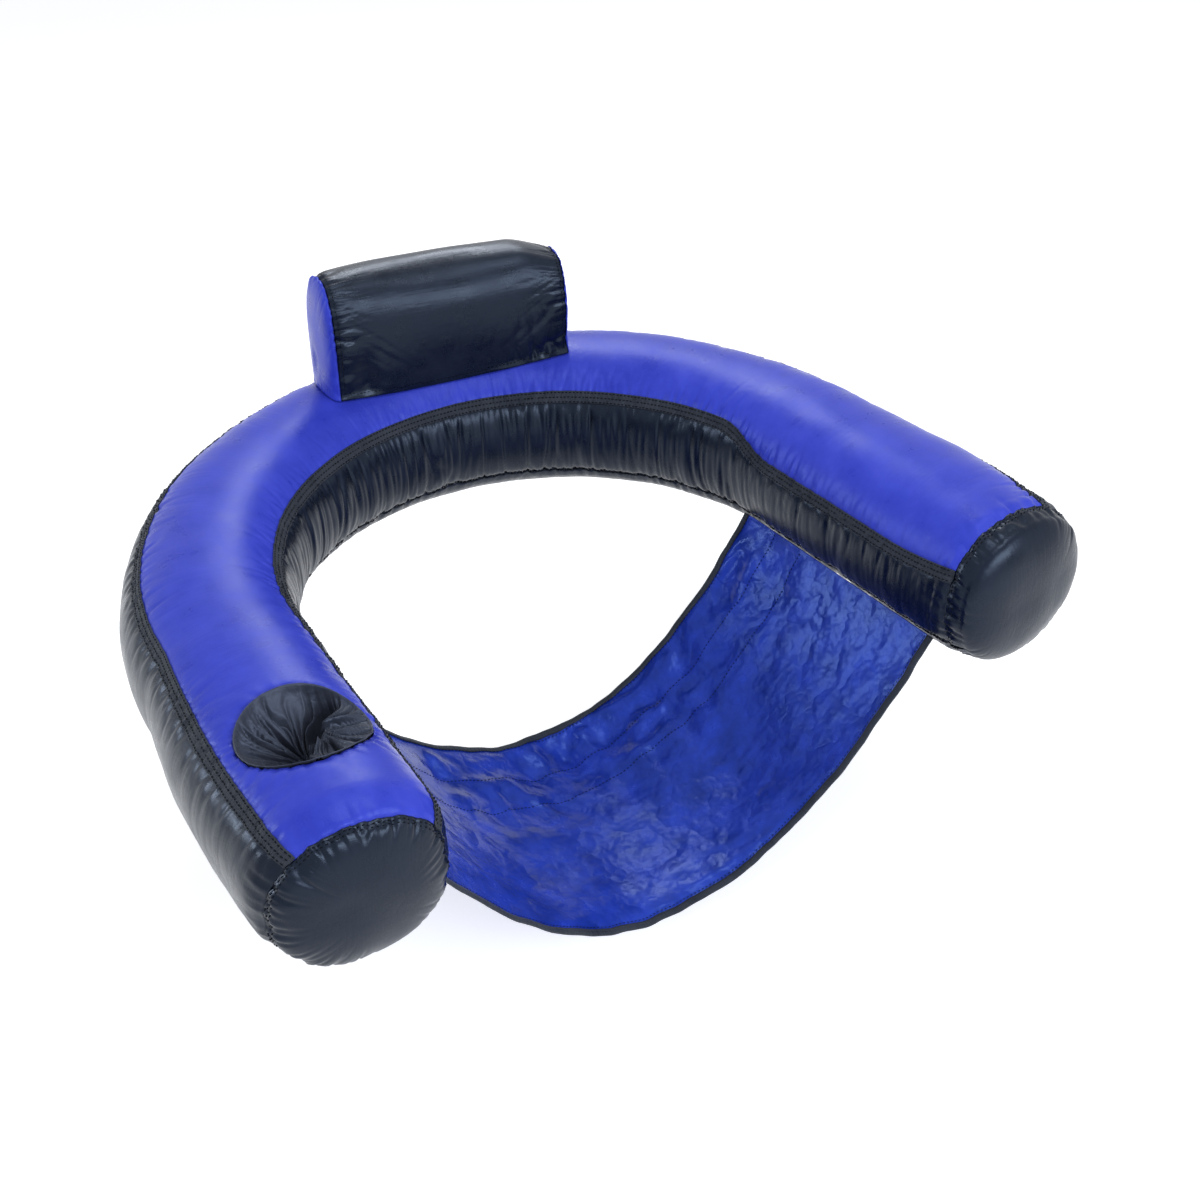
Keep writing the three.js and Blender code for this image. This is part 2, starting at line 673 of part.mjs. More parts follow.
function valvePlug() {
  const shank = STEM_RADIUS - STEM_WALL - PLUG_SHANK_CLEARANCE;
  const foot = PLUG_LOW - PLUG_SHANK_LENGTH;
  const head = PLUG_LOW + PLUG_HEAD_THICKNESS;
  const rounding = PLUG_HEAD_THICKNESS / 3;
  return new THREE.LatheGeometry([
    new THREE.Vector2(0, foot),
    new THREE.Vector2(shank - rounding, foot),
    new THREE.Vector2(shank, foot + rounding),
    new THREE.Vector2(shank, PLUG_LOW),
    new THREE.Vector2(PLUG_HEAD_RADIUS, PLUG_LOW),
    new THREE.Vector2(PLUG_HEAD_RADIUS, head - rounding),
    new THREE.Vector2(PLUG_HEAD_RADIUS - rounding, head),
    new THREE.Vector2(0, head),
  ], VALVE_SIDES);
}

function valveFlap() {
  const high = STEM_LOW - CLEARANCE;
  return disc(STEM_RADIUS - CLEARANCE, high - FLAP_THICKNESS, high);
}

// A strap that leaves the flange, loops outwards and returns to the plug's head.
function valveTether() {
  const head = PLUG_LOW + PLUG_HEAD_THICKNESS - TETHER_THICKNESS / 2;
  const foot = FLANGE_HIGH + CLEARANCE + TETHER_THICKNESS / 2;
  const centre = (head + foot) / 2;
  const start = PLUG_HEAD_RADIUS + CLEARANCE;
  const rowsAt = (side) => evenSteps(-RIGHT_ANGLE, RIGHT_ANGLE, TETHER_STEPS).map((turn) => {
    const reach = TETHER_REACH + side;
    const rise = (head - foot) / 2 + side;
    const radius = start + reach * Math.cos(turn);
    const height = centre + rise * Math.sin(turn);
    return [-TETHER_WIDTH / 2, TETHER_WIDTH / 2].map((across) => new THREE.Vector3(across, height, -radius));
  });
  return sheetSolid(rowsAt(TETHER_THICKNESS / 2), rowsAt(-TETHER_THICKNESS / 2));
}

function valve(prefix, frame) {
  const group = new THREE.Group();
  group.applyMatrix4(frame);
  group.add(
    piece(`${prefix}_valve_flange`, valveFlange(), CLEAR_VINYL),
    piece(`${prefix}_valve_skirt`, valveSkirt(), CLEAR_VINYL),
    piece(`${prefix}_valve_stem`, valveStem(), CLEAR_VINYL),
    piece(`${prefix}_valve_flap`, valveFlap(), CLEAR_VINYL),
    piece(`${prefix}_valve_plug`, valvePlug(), CLEAR_VINYL),
    piece(`${prefix}_valve_tether`, valveTether(), CLEAR_VINYL),
  );
  return group;
}

const MAIN_VALVE = mainValveFrame();
const HEADREST_VALVE = headrestValveFrame();
const CUP_WELL = cupWell();

function mainBladder() {
  const solid = toSolid(tubeBody(0)).subtract(CUP_WELL).subtract(valveCuts(MAIN_VALVE));
  return piece('main_bladder', toGeometry(solid), FILM);
}

function headrestBladder() {
  const solid = toSolid(headrestBody(0)).subtract(TUBE_SEAT).subtract(valveCuts(HEADREST_VALVE));
  return piece('headrest_bladder', toGeometry(solid), FILM);
}

function cutStrip(name, turnsAt, cutter, finish) {
  const strip = toSolid(tubeStrip(turnsAt, COVER_INNER, COVER_OUTER)).subtract(cutter);
  return piece(name, toGeometry(strip), finish);
}

function buildTube() {
  const group = new THREE.Group();
  group.add(
    mainBladder(),
    cutStrip('top_panel', topTurns, CUP_WELL, BLUE),
    cutStrip('outer_side_panel', outerTurns, portCut(MAIN_VALVE), BLACK),
    piece('bottom_panel', tubeStrip(bottomTurns, COVER_INNER, COVER_OUTER), BLACK),
    piece('inner_side_panel', tubeStrip(innerTurns, COVER_INNER, COVER_OUTER), BLACK),
    endCap('end_cap_cup_side', FIRST_STATION, -1),
    endCap('end_cap_far_side', LAST_STATION, 1),
    seamTape('inner_seam_tape', innerSeamAt),
    seamTape('outer_seam_tape', () => OUTER_SEAM),
    cupPocket(),
    portFacing('main_port_facing', MAIN_VALVE, TUBE_SEAT, TUBE_TRIMMED),
    valve('main', MAIN_VALVE),
  );
  return group;
}

function buildHeadrest() {
  const trimInner = toSolid(headrestBody(TRIM_INNER));
  const trimOuter = toSolid(headrestBody(TRIM_OUTER));
  const group = new THREE.Group();
  group.add(
    headrestBladder(),
    headrestWrap(portCut(HEADREST_VALVE)),
    headrestGusset('headrest_gusset_cup_side', -1),
    headrestGusset('headrest_gusset_far_side', 1),
    portFacing('headrest_port_facing', HEADREST_VALVE, trimInner, trimOuter),
    valve('headrest', HEADREST_VALVE),
  );
  return group;
}

function buildSeat() {
  const group = new THREE.Group();
  group.add(
    seatSling(),
    slingBinding('sling_rear_binding', SLING_REAR_Y, -1),
    slingBinding('sling_front_binding', SLING_FRONT_Y, 1),
    slingStrap(),
  );
  return group;
}

// The origin is on the tube's underside, at the middle of the back.
const chair = new THREE.Group();
chair.name = 'pool_chair';
chair.add(buildTube(), buildHeadrest(), buildSeat());
chair.position.y = -BACK_DEPTH;

export default chair;
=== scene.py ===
"""Inflatable pool chair: the dressed model of the tube, head cushion, seat sling and air valves.

Every length is in metres, in the part's own frame: +X towards the far arm, +Y behind the sitter, +Z up.
The tube lies on its underside at z = 0 and the back's centreline passes over the origin.
"""

import logging
import math
from dataclasses import dataclass, field
from enum import Enum
from typing import Callable, Dict, List, Optional, Sequence, Tuple, Union

import bmesh
import bpy
import numpy as np
from mathutils import Matrix, Vector
from mathutils.bvhtree import BVHTree

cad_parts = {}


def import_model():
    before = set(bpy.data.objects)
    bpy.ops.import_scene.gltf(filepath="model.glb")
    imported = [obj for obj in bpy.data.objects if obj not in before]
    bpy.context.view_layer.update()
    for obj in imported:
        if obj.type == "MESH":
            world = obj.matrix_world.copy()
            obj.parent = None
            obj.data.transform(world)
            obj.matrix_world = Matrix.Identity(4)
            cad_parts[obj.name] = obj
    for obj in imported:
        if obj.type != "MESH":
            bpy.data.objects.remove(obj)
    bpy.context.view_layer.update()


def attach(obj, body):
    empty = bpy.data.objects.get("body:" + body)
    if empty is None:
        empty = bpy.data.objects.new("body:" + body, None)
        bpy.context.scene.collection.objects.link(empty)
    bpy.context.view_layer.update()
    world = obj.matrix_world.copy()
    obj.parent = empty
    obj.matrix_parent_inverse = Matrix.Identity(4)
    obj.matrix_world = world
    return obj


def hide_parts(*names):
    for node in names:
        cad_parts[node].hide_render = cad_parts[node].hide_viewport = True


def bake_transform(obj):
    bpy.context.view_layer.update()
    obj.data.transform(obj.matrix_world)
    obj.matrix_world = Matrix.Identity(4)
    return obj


LOG = logging.getLogger("pool_chair")

Array = np.ndarray
Seam = Callable[[Array], Array]
Profile = Sequence[Tuple[float, float]]
Colour = Tuple[float, float, float]
Mesh = bmesh.types.BMesh
Ring = List[bmesh.types.BMEdge]
Object = bpy.types.Object
Material = bpy.types.Material
Tree = bpy.types.NodeTree
Node = bpy.types.Node
Socket = bpy.types.NodeSocket
Inputs = Dict[Union[str, int], Union[Socket, float, tuple]]
MM = 0.001
UPWARD = np.array([0.0, 0.0, 1.0])
CLOTH_MAP = "cloth"


class Slot(Enum):
    """Names of the material slots, which each piece holds."""

    BLUE_NYLON = "blue_nylon"
    BLACK_NYLON = "black_nylon"
    SEAM_TAPE = "seam_tape"
    FILM = "bladder_film"
    VINYL = "clear_vinyl"


class Side(Enum):
    """The two arms, by the sign of X and of the run along the tube."""

    CUP = -1
    FAR = 1


# Noise and small maths


class PlaneNoise:
    """Seeded gradient noise over a plane, about -1 to 1."""

    def __init__(self, seed: int) -> None:
        """Draws the gradients.

        Args:
            seed: Chooses the pattern; the same seed gives the same one.
        """
        chooser = np.random.default_rng(seed)
        angles = chooser.uniform(0.0, 2.0 * np.pi, 256)
        self.gradients = np.stack([np.cos(angles), np.sin(angles)], -1)
        self.order = chooser.permutation(256)

    def _corner(self, cell_x: Array, cell_y: Array, x: Array, y: Array) -> Array:
        """Slope of one lattice corner's gradient towards a point."""
        gradient = self.gradients[self.order[(self.order[cell_x & 255] + cell_y) & 255]]
        return gradient[..., 0] * x + gradient[..., 1] * y

    def __call__(self, x: Array, y: Array) -> Array:
        """Noise at points of the plane.

        Args:
            x: First coordinates, in pattern sizes.
            y: Second coordinates, in pattern sizes.

        Returns:
            One value for each point.
        """
        x, y = np.broadcast_arrays(np.asarray(x, float), np.asarray(y, float))
        cell_x = np.floor(x).astype(int)
        cell_y = np.floor(y).astype(int)
        u = x - cell_x
        v = y - cell_y
        ease_u = u**3 * (u * (u * 6 - 15) + 10)
        ease_v = v**3 * (v * (v * 6 - 15) + 10)
        near = self._corner(cell_x, cell_y, u, v)
        right = self._corner(cell_x + 1, cell_y, u - 1, v)
        above = self._corner(cell_x, cell_y + 1, u, v - 1)
        across = self._corner(cell_x + 1, cell_y + 1, u - 1, v - 1)
        low = near + (right - near) * ease_u
        high = above + (across - above) * ease_u
        return 1.5 * (low + (high - low) * ease_v)


def creases(noise: Array, width: float) -> Array:
    """Narrow valleys where the noise changes sign.

    Args:
        noise: Smooth noise.
        width: How much of the noise's range a valley takes.

    Returns:
        1 at the bottom of a valley, falling to 0 outside it.
    """
    return np.clip(1.0 - np.abs(noise) / width, 0.0, 1.0)


def fading(distance: Array, reach: Array, power: float = 1.3) -> Array:
    """1 at a seam, falling away with the distance from it."""
    return np.exp(-((np.maximum(distance, 0.0) / reach) ** power))


def smooth_step(value: Array) -> Array:
    """Eases a value from 0 to 1."""
    held = np.clip(value, 0.0, 1.0)
    return held * held * (3.0 - 2.0 * held)


def power_curve(angle: Array, power: float) -> Tuple[Array, Array]:
    """A unit superellipse's point at an angle from its top.

    Args:
        angle: Radians from the top, outwards positive.
        power: 2 for an ellipse, more for a squarer form.

    Returns:
        The point's place across and up.
    """
    sine, cosine = np.sin(angle), np.cos(angle)
    across = np.sign(sine) * np.abs(sine) ** (2.0 / power)
    up = np.sign(cosine) * np.abs(cosine) ** (2.0 / power)
    return across, up


def totals(steps: Array) -> Array:
    """Running totals of steps, from zero."""
    return np.concatenate([[0.0], np.cumsum(steps)])


# Mesh helpers


def sheet_grid(
    lengthwise: int, crosswise: int, place: Callable[[Array, Array], Array], size: Tuple[float, float]
) -> Mesh:
    """A grid laid on a surface, with its own UV map in metres.

    Args:
        lengthwise: Cells along the first share.
        crosswise: Cells along the second share.
        place: Gives the points for two arrays of shares from 0 to 1.
        size: Width and height of the UV map, in metres.

    Returns:
        The mesh, its faces turned by the order of the shares.
    """
    mesh = bmesh.new()
    bmesh.ops.create_grid(mesh, x_segments=lengthwise, y_segments=crosswise, size=0.5)
    shares = np.array([vertex.co[:2] for vertex in mesh.verts]) + 0.5
    for vertex, point in zip(mesh.verts, place(shares[:, 0], shares[:, 1])):
        vertex.co = point
    unwrap(mesh, shares * np.array(size))
    return mesh


def unwrap(mesh: Mesh, flat: Array) -> None:
    """Gives the mesh its UV map in metres, with a flat place for each of its points.

    Args:
        mesh: The mesh.
        flat: Each point's place on the flat cloth.
    """
    mesh.verts.index_update()
    layer = mesh.loops.layers.uv.new(CLOTH_MAP)
    for face in mesh.faces:
        for loop in face.loops:
            loop[layer].uv = flat[loop.vert.index]


def ball(around: int, over: int) -> Mesh:
    """A unit ball with the given cells around its Z axis and from pole to pole.

    Args:
        around: Cells round the Z axis.
        over: Cells from pole to pole.

    Returns:
        The ball.
    """
    mesh = bmesh.new()
    bmesh.ops.create_uvsphere(mesh, u_segments=around, v_segments=over, radius=1.0)
    return mesh


def rings_of(unit: Array, over: int) -> Array:
    """The ring that each of a ball's points is on, from 0 at its lower pole."""
    return (1.0 - np.arccos(np.clip(unit[:, 2], -1.0, 1.0)) / math.pi) * over


def coordinates(mesh: Mesh) -> Array:
    """The mesh's points as rows."""
    return np.array([vertex.co[:] for vertex in mesh.verts])


def move_to(mesh: Mesh, points: Array) -> None:
    """Puts the mesh's points at the given rows."""
    for vertex, point in zip(mesh.verts, points):
        vertex.co = point


def between(grid: Array, rows: Array, columns: Array) -> Array:
    """A grid's values at given columns, mixed between its two rows next to each place.

    Args:
        grid: Values by row and column.
        rows: Places between rows.
        columns: Whole columns.

    Returns:
        One value for each place.
    """
    low = np.clip(np.floor(rows).astype(int), 0, len(grid) - 2)
    share = (rows - low)[:, None]
    return grid[low, columns] * (1 - share) + grid[low + 1, columns] * share


def face_outwards(mesh: Mesh, centre: Optional[Vector] = None) -> None:
    """Turns a mesh's faces consistently, away from a point if one is given.

    Args:
        mesh: The mesh.
        centre: A point inside an open mesh.
    """
    bmesh.ops.recalc_face_normals(mesh, faces=mesh.faces)
    if centre is None:
        return
    outward = 0.0
    for face in mesh.faces:
        outward += (face.calc_center_median() - centre).dot(face.normal) * face.calc_area()
    if outward < 0:
        bmesh.ops.reverse_faces(mesh, faces=mesh.faces)


def open_round(mesh: Mesh, frame: Matrix, radius: float, depth: float) -> Ring:
    """Cuts a round opening about a frame's Z axis.

    Args:
        mesh: The surface to open.
        frame: Centre of the opening, with +Z out of the surface.
        radius: The opening's radius.
        depth: How far below and above the frame faces are cut.

    Returns:
        The edges round the opening.
    """
    inward = frame.inverted()
    gone = []
    for face in mesh.faces:
        local = inward @ face.calc_center_median()
        if abs(local.z) < depth and math.hypot(local.x, local.y) < radius:
            gone.append(face)
    rim = _rim_of(gone)
    bmesh.ops.delete(mesh, geom=gone, context="FACES")
    ring = [edge for edge in rim if edge.is_valid and edge.is_boundary]
    for vertex in {vertex for edge in ring for vertex in edge.verts}:
        local = inward @ vertex.co
        local.xy = local.xy.normalized() * radius
        vertex.co = frame @ local
    return ring


def _rim_of(faces: Sequence[bmesh.types.BMFace]) -> set:
    """Edges that only one of the given faces has.

    Args:
        faces: Some of a mesh's faces.

    Returns:
        The edges.
    """
    inside = set(faces)
    return {
        edge for face in faces for edge in face.edges
        if any(other not in inside for other in edge.link_faces)
    }


def sink_well(mesh: Mesh, ring: Ring, frame: Matrix, steps: Profile) -> None:
    """Extrudes an opening's edge through rings about a frame's Z axis, and closes the last.

    Args:
        mesh: The surface.
        ring: The opening's edges.
        frame: The opening's frame.
        steps: Radius and height of each ring, in the frame.
    """
    inward = frame.inverted()
    for radius, height in steps:
        made = bmesh.ops.extrude_edge_only(mesh, edges=ring)["geom"]
        ring = [item for item in made if isinstance(item, bmesh.types.BMEdge)]
        for vertex in [item for item in made if isinstance(item, bmesh.types.BMVert)]:
            local = inward @ vertex.co
            local.xy = local.xy.normalized() * radius
            local.z = height
            vertex.co = frame @ local
    bmesh.ops.holes_fill(mesh, edges=ring)


def lathe(profile: Profile, steps: int, closed: bool) -> Mesh:
    """Turns a profile about the Z axis.

    Args:
        profile: Radius and height of each point.
        steps: Cells round the axis.
        closed: Whether the last point joins the first.

    Returns:
        The turned mesh, its faces outwards.
    """
    mesh = bmesh.new()
    points = [mesh.verts.new((radius, 0.0, height)) for radius, height in profile]
    ends = points[1:] + points[:1] if closed else points[1:]
    edges = [mesh.edges.new(pair) for pair in zip(points, ends)]
    bmesh.ops.spin(
        mesh, geom=points + edges, cent=(0, 0, 0), axis=(0, 0, 1), angle=2 * math.pi,
        steps=steps, use_merge=True,
    )
    bmesh.ops.remove_doubles(mesh, verts=mesh.verts, dist=1e-6)
    bmesh.ops.recalc_face_normals(mesh, faces=mesh.faces)
    return mesh


def into_scene(name: str, data: bpy.types.ID) -> Object:
    """A new object in the scene that holds a mesh, a lamp or a camera.

    Args:
        name: Its name.
        data: What it holds.

    Returns:
        The object.
    """
    made = bpy.data.objects.new(name, data)
    bpy.context.scene.collection.objects.link(made)
    return made


def loose_object(mesh: Mesh, name: str) -> Object:
    """A scene object for a mesh that is still being worked on.

    Args:
        mesh: The mesh, which stays as it is.
        name: Its name.

    Returns:
        The object.
    """
    data = bpy.data.meshes.new(name)
    mesh.to_mesh(data)
    return into_scene(name, data)


@dataclass(frozen=True)
class Piece:
    """How a finished mesh joins the chair."""

    name: str
    material: Material
    slot: Slot
    replaced: Tuple[str, ...] = ()
    body: str = "chair"
    wall: float = 0.0

    def add(self, mesh: Mesh) -> Object:
        """Makes the scene's object and lets it ride on its body.

        Args:
            mesh: The finished mesh, which is freed.

        Returns:
            The object.
        """
        made = loose_object(mesh, self.name)
        mesh.free()
        data = made.data
        data.polygons.foreach_set("use_smooth", [True] * len(data.polygons))
        data.materials.append(self.material)
        if self.wall:
            solid = made.modifiers.new("wall", "SOLIDIFY")
            solid.thickness = self.wall
            solid.offset = -1.0
        if self.body:
            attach(made, self.body)
        if self.replaced:
            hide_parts(*self.replaced)
        LOG.info("%s: %d faces", self.name, len(data.polygons))
        return made


@dataclass(frozen=True)
class Stitch:
    """A thread stitch: its pitch, length, radius, and lift over the cloth."""

    pitch: float
    length: float
    radius: float
    lift: float = 0.0

    def sew(self, mesh: Mesh, points: Array, normals: Array) -> None:
        """Lays stitches end to end along a line.

        Args:
            mesh: The mesh that gets the stitches.
            points: Points along the line, on the cloth.
            normals: The cloth's outward direction at each.
        """
        points = points + normals * self.lift
        run = totals(np.linalg.norm(np.diff(points, axis=0), axis=1))
        starts = np.arange(self.pitch / 2, run[-1] - self.pitch / 2, self.pitch)
        shape = Matrix.Diagonal((self.length / 2, self.radius * 1.2, self.radius, 1.0))

        def at(places: Array, rows: Array) -> Array:
            """The rows' values at places along the line.

            Args:
                places: Distances along the line.
                rows: One row for each of its points.

            Returns:
                The rows between them.
            """
            return np.stack([np.interp(places, run, rows[:, axis]) for axis in range(3)], -1)

        stitches = zip(at(starts, points), at(starts + self.pitch / 4, points), at(starts, normals))
        for place, towards, normal in stitches:
            along = Vector(towards - place).normalized()
            side = Vector(normal).normalized().cross(along).normalized()
            turn = Matrix((along, side, along.cross(side))).transposed().to_4x4()
            matrix = Matrix.Translation(Vector(place)) @ turn @ shape
            bmesh.ops.create_icosphere(mesh, subdivisions=1, radius=1.0, matrix=matrix)


# The tube


@dataclass(frozen=True)
class TubeShape:
    """Sizes of the air tube, seen from above and in section."""

    back_depth: float = 0.352
    back_half_width: float = 0.347
    arm_length: float = 0.291
    arm_spread: float = 0.013
    half_width: float = 0.0853
    half_height: float = 0.0836
    power: float = 2.22
    arm_bulge: float = 0.010
    end_tuck: float = 0.007
    tuck_length: float = 0.028
    cap_bulge: float = 0.023
    cap_power: float = 2.1
    centre_height: float = 0.08398
    inner_seam: float = math.radians(-57)
    seam_drift: float = math.radians(-9)
    outer_seam: float = math.radians(44)
    lower_seam: float = math.radians(125)
    cover_outer: float = 0.0011
    trim_outer: float = 0.0022
    cloth: float = 0.0008
    tape_width: float = 0.014
    far_inner_fall: float = math.radians(-15.5)
    far_inner_rise: float = math.radians(6)
    far_outer_fall: float = math.radians(14)
    far_outer_rise: float = math.radians(-27)
    far_seam_back: float = 0.018
    cup_seam_tilt: float = 0.011


@dataclass(frozen=True)
class CupShape:
    """Sizes of the cup holder and its place in the arm."""

    centre: Tuple[float, float] = (-0.346997, -0.531)
    mouth_radius: float = 0.060
    mouth_shares: Tuple[float, float] = (0.97, 0.87)
    mouth_shift: float = 0.004
    rim_height: float = 0.16868
    rim_depth: float = 0.032
    throat_radius: float = 0.038
    throat_height: float = 0.10868
    floor_radius: float = 0.035
    floor_height: float = 0.06548

    def frame(self, height: float) -> Matrix:
        """The upright frame on the cup's axis at a height."""
        return Matrix.Translation((self.centre[0], self.centre[1], height))

    def mouth(self) -> Matrix:
        """The mouth's frame, drawn to its oval."""
        oval = Matrix.Diagonal((*self.mouth_shares, 1.0, 1.0))
        return Matrix.Translation((0.0, self.mouth_shift, 0.0)) @ self.frame(self.rim_height) @ oval

    def from_mouth(self, points: Array) -> Tuple[Array, Array]:
        """Distance from the mouth's edge in plan, and the place round it in metres.

        Args:
            points: The points, as rows.

        Returns:
            Distances, positive outside the mouth, and places.
        """
        x = (points[:, 0] - self.centre[0]) / self.mouth_shares[0]
        y = (points[:, 1] - self.centre[1] - self.mouth_shift) / self.mouth_shares[1]
        return np.hypot(x, y) - self.mouth_radius, np.arctan2(y, x) * self.mouth_radius


@dataclass(frozen=True)
class Fold:
    """One kind of fold beside a seam: its depth, pitch, width in the noise's range, and reach."""

    depth: float
    pitch: float
    width: float
    reach: float
    power: float = 1.3

    def fall(self, noise: Array, gap: Array, uneven: Array) -> Array:
        """How far the cloth falls, from noise along the seam and the distance from it."""
        return self.depth * creases(noise, self.width) * fading(gap, self.reach * uneven, self.power)


@dataclass(frozen=True)
class Dip:
    """The hollow that a seam draws into the cloth."""

    depth: float
    width: float

    def fall(self, distance: Array) -> Array:
        """How far the cloth falls at a distance from the seam."""
        return self.depth * np.exp(-((distance / self.width) ** 2))


class Relief:
    """Height of the cover's folds and puckers over its smooth surface, for every panel and tape."""

    pucker = Fold(1.0 * MM, pitch=0.0085, width=0.42, reach=0.012)
    fold = Fold(1.3 * MM, pitch=0.021, width=0.22, reach=0.021)
    taped_dip = Dip(1.3 * MM, 0.0085)
    bare_dip = Dip(1.7 * MM, 0.006)
    end_long_fold = Fold(3.8 * MM, pitch=0.021, width=0.26, reach=0.021, power=2.2)
    end_fold = Fold(1.9 * MM, pitch=0.013, width=0.35, reach=0.015, power=1.7)
    end_pucker = Fold(0.6 * MM, pitch=0.0065, width=0.42, reach=0.010)
    end_dip = Dip(1.7 * MM, 0.0055)
    mouth_fold = Fold(1.5 * MM, pitch=0.014, width=0.32, reach=0.018)
    mouth_dip = Dip(1.5 * MM, 0.006)
    wide_dent, small_dent, end_dent = 1.5 * MM, 0.55 * MM, 1.6 * MM
    inside_fold, inside_shallow = 2.3 * MM, 0.8 * MM
    deepest = 0.006

    def __init__(self, tube: "TubePath", cup: CupShape) -> None:
        """Keeps what the folds follow.

        Args:
            tube: The tube that is covered.
            cup: The cup holder whose mouth draws the cloth in.
        """
        self.tube = tube
        self.cup = cup
        self.soft = PlaneNoise(11)
        self.fine = PlaneNoise(23)
        self.coarse = PlaneNoise(37)
        self.ends = PlaneNoise(41)
        self.folds = PlaneNoise(59)

    def _seam(self, along: Array, distance: Array, seed: float, taped: bool) -> Array:
        """Pucker and dip beside one lengthwise seam.

        Args:
            along: Places along the tube.
            distance: Distances from the seam.
            seed: Shift of its pattern.
            taped: Whether a tape lies on it.

        Returns:
            Heights, below zero in folds.
        """
        edge = np.abs(distance) - (self.tube.shape.tape_width / 2 if taped else 0.0)
        side = np.where(distance > 0, 17.3, 0.0) + seed
        uneven = 1.0 + 0.55 * self.coarse(along / 0.070 + side, distance * 0 + seed)
        strength = 1.0 + 0.8 * self.coarse(along / 0.110 + side, distance * 0 + seed + 5.5)
        strength = np.clip(strength, 0.25, 1.8)
        drift = distance / 0.045
        fine = self.fine(along / self.pucker.pitch + side, drift + seed)
        coarse = self.coarse(along / self.fold.pitch + side, drift * 0.6 + seed)
        fall = self.pucker.fall(fine, edge, uneven) + self.fold.fall(coarse, edge, uneven)
        dip = self.taped_dip if taped else self.bare_dip
        return -dip.fall(distance) - strength * fall

    def end_seam(self, girth: Array, distance: Array) -> Array:
        """Pucker, long folds and dip beside the seam round an arm's end.

        Args:
            girth: Place round the section.
            distance: From the seam, positive on the cap.

        Returns:
            The height, below zero in folds.
        """
        reach = self.tube.half_girth / math.pi
        x, y = reach * np.cos(girth / reach), reach * np.sin(girth / reach)
        gap = np.abs(distance)
        uneven = np.clip(1.0 + 0.9 * self.ends(x / 0.045 + 3.1, y / 0.045), 0.3, 2.0)
        onto_cap = np.where(distance > 0, 1.0, 0.6)
        pitch = self.end_long_fold.pitch
        long = self.coarse(x / pitch + distance / 0.09, y / pitch)
        pitch = self.end_fold.pitch
        folds = self.ends(x / pitch, y / pitch + distance / 0.070)
        pitch = self.end_pucker.pitch
        fine = self.fine(x / pitch, y / pitch + 8.0)
        fall = self.end_long_fold.fall(long, gap, np.minimum(uneven, 1.5))
        fall = (fall + self.end_fold.fall(folds, gap, uneven)) * onto_cap
        return -self.end_dip.fall(gap) - fall - self.end_pucker.fall(fine, gap, uneven)

    def cup_mouth(self, points: Array) -> Array:
        """Folds that run out from the cup's mouth over the top of the arm.

        Args:
            points: The points, as rows.

        Returns:
            Heights, below zero in folds.
        """
        out, round_mouth = self.cup.from_mouth(points)
        near = (points[:, 2] > self.tube.shape.centre_height) & (out < 0.09)
        round_turn = (round_mouth / self.cup.mouth_radius + math.pi + 0.3) % (2 * math.pi) - 0.3
        outer_rim = np.exp(-(round_turn**2))
        uneven = 1.0 + 0.6 * self.ends(round_mouth / 0.040, out * 0 + 7.7) + 0.7 * outer_rim
        folds = self.ends(round_mouth / self.mouth_fold.pitch, out / 0.060 + 2.0)
        height = -self.mouth_dip.fall(out) - self.mouth_fold.fall(folds, out, uneven)
        return np.where(near, height, 0.0)

    def dents(self, along: Array, girth: Array) -> Array:
        """Soft, wide dents and swells of the filled tube.

        Args:
            along: Places along the tube.
            girth: Places round the section, in metres.

        Returns:
            Heights.
        """
        wide = self.wide_dent * self.soft(along / 0.120, girth / 0.105)
        small = self.small_dent * self.soft(along / 0.043 + 9.0, girth / 0.060)
        return wide + small

    def height(self, along: Array, turn: Array, points: Array) -> Array:
        """Height over the smooth tube.

        Args:
            along: Place along the tube.
            turn: Turn round the section, from the top.
            points: The smooth surface's points.

        Returns:
            Heights in metres.
        """
        tube = self.tube
        girth = tube.girth(turn)
        past_seam = tube.past_cap_seam(along, turn)
        panel = 1.0 - smooth_step((past_seam + 0.001) / 0.004)
        inner = girth - tube.girth(tube.inner_seam(along))
        outer = girth - tube.girth(tube.outer_seam(along))
        low_out = girth - tube.girth(np.full_like(turn, tube.shape.lower_seam))
        low_in = girth - tube.girth(np.full_like(turn, -tube.shape.lower_seam))
        under = np.abs(girth) / tube.half_girth
        on_end = smooth_step(np.maximum(-along, along - tube.length) / 0.02)
        height = self.dents(along, girth) * (1.0 - smooth_step((under - 0.9) * 12.0)) * (1.0 - on_end)
        height += self.end_dent * on_end * self.soft(points[:, 0] / 0.055 + 3.0, points[:, 2] / 0.055)
        height += panel * (self._seam(along, inner, 1.7, True) + self._seam(along, outer, 4.9, True))
        height += panel * (self._seam(along, low_out, 8.3, False) + self._seam(along, low_in, 12.1, False))
        inside = smooth_step((inner * -1.0 - 0.004) / 0.02) * smooth_step((0.03 + low_in) / 0.03)
        bend = 0.25 + 0.75 * (1.0 - np.abs(tube.arm_share(along)))
        folds = creases(self.folds(along / 0.032, girth / 0.300), 0.16)
        shallow = creases(self.folds(along / 0.015 + 31.0, girth / 0.160 + 3.0), 0.30)
        height -= panel * inside * bend * (self.inside_fold * folds + self.inside_shallow * shallow)
        height += self.end_seam(girth, past_seam) + self.cup_mouth(points)
        return np.maximum(height, -self.deepest)


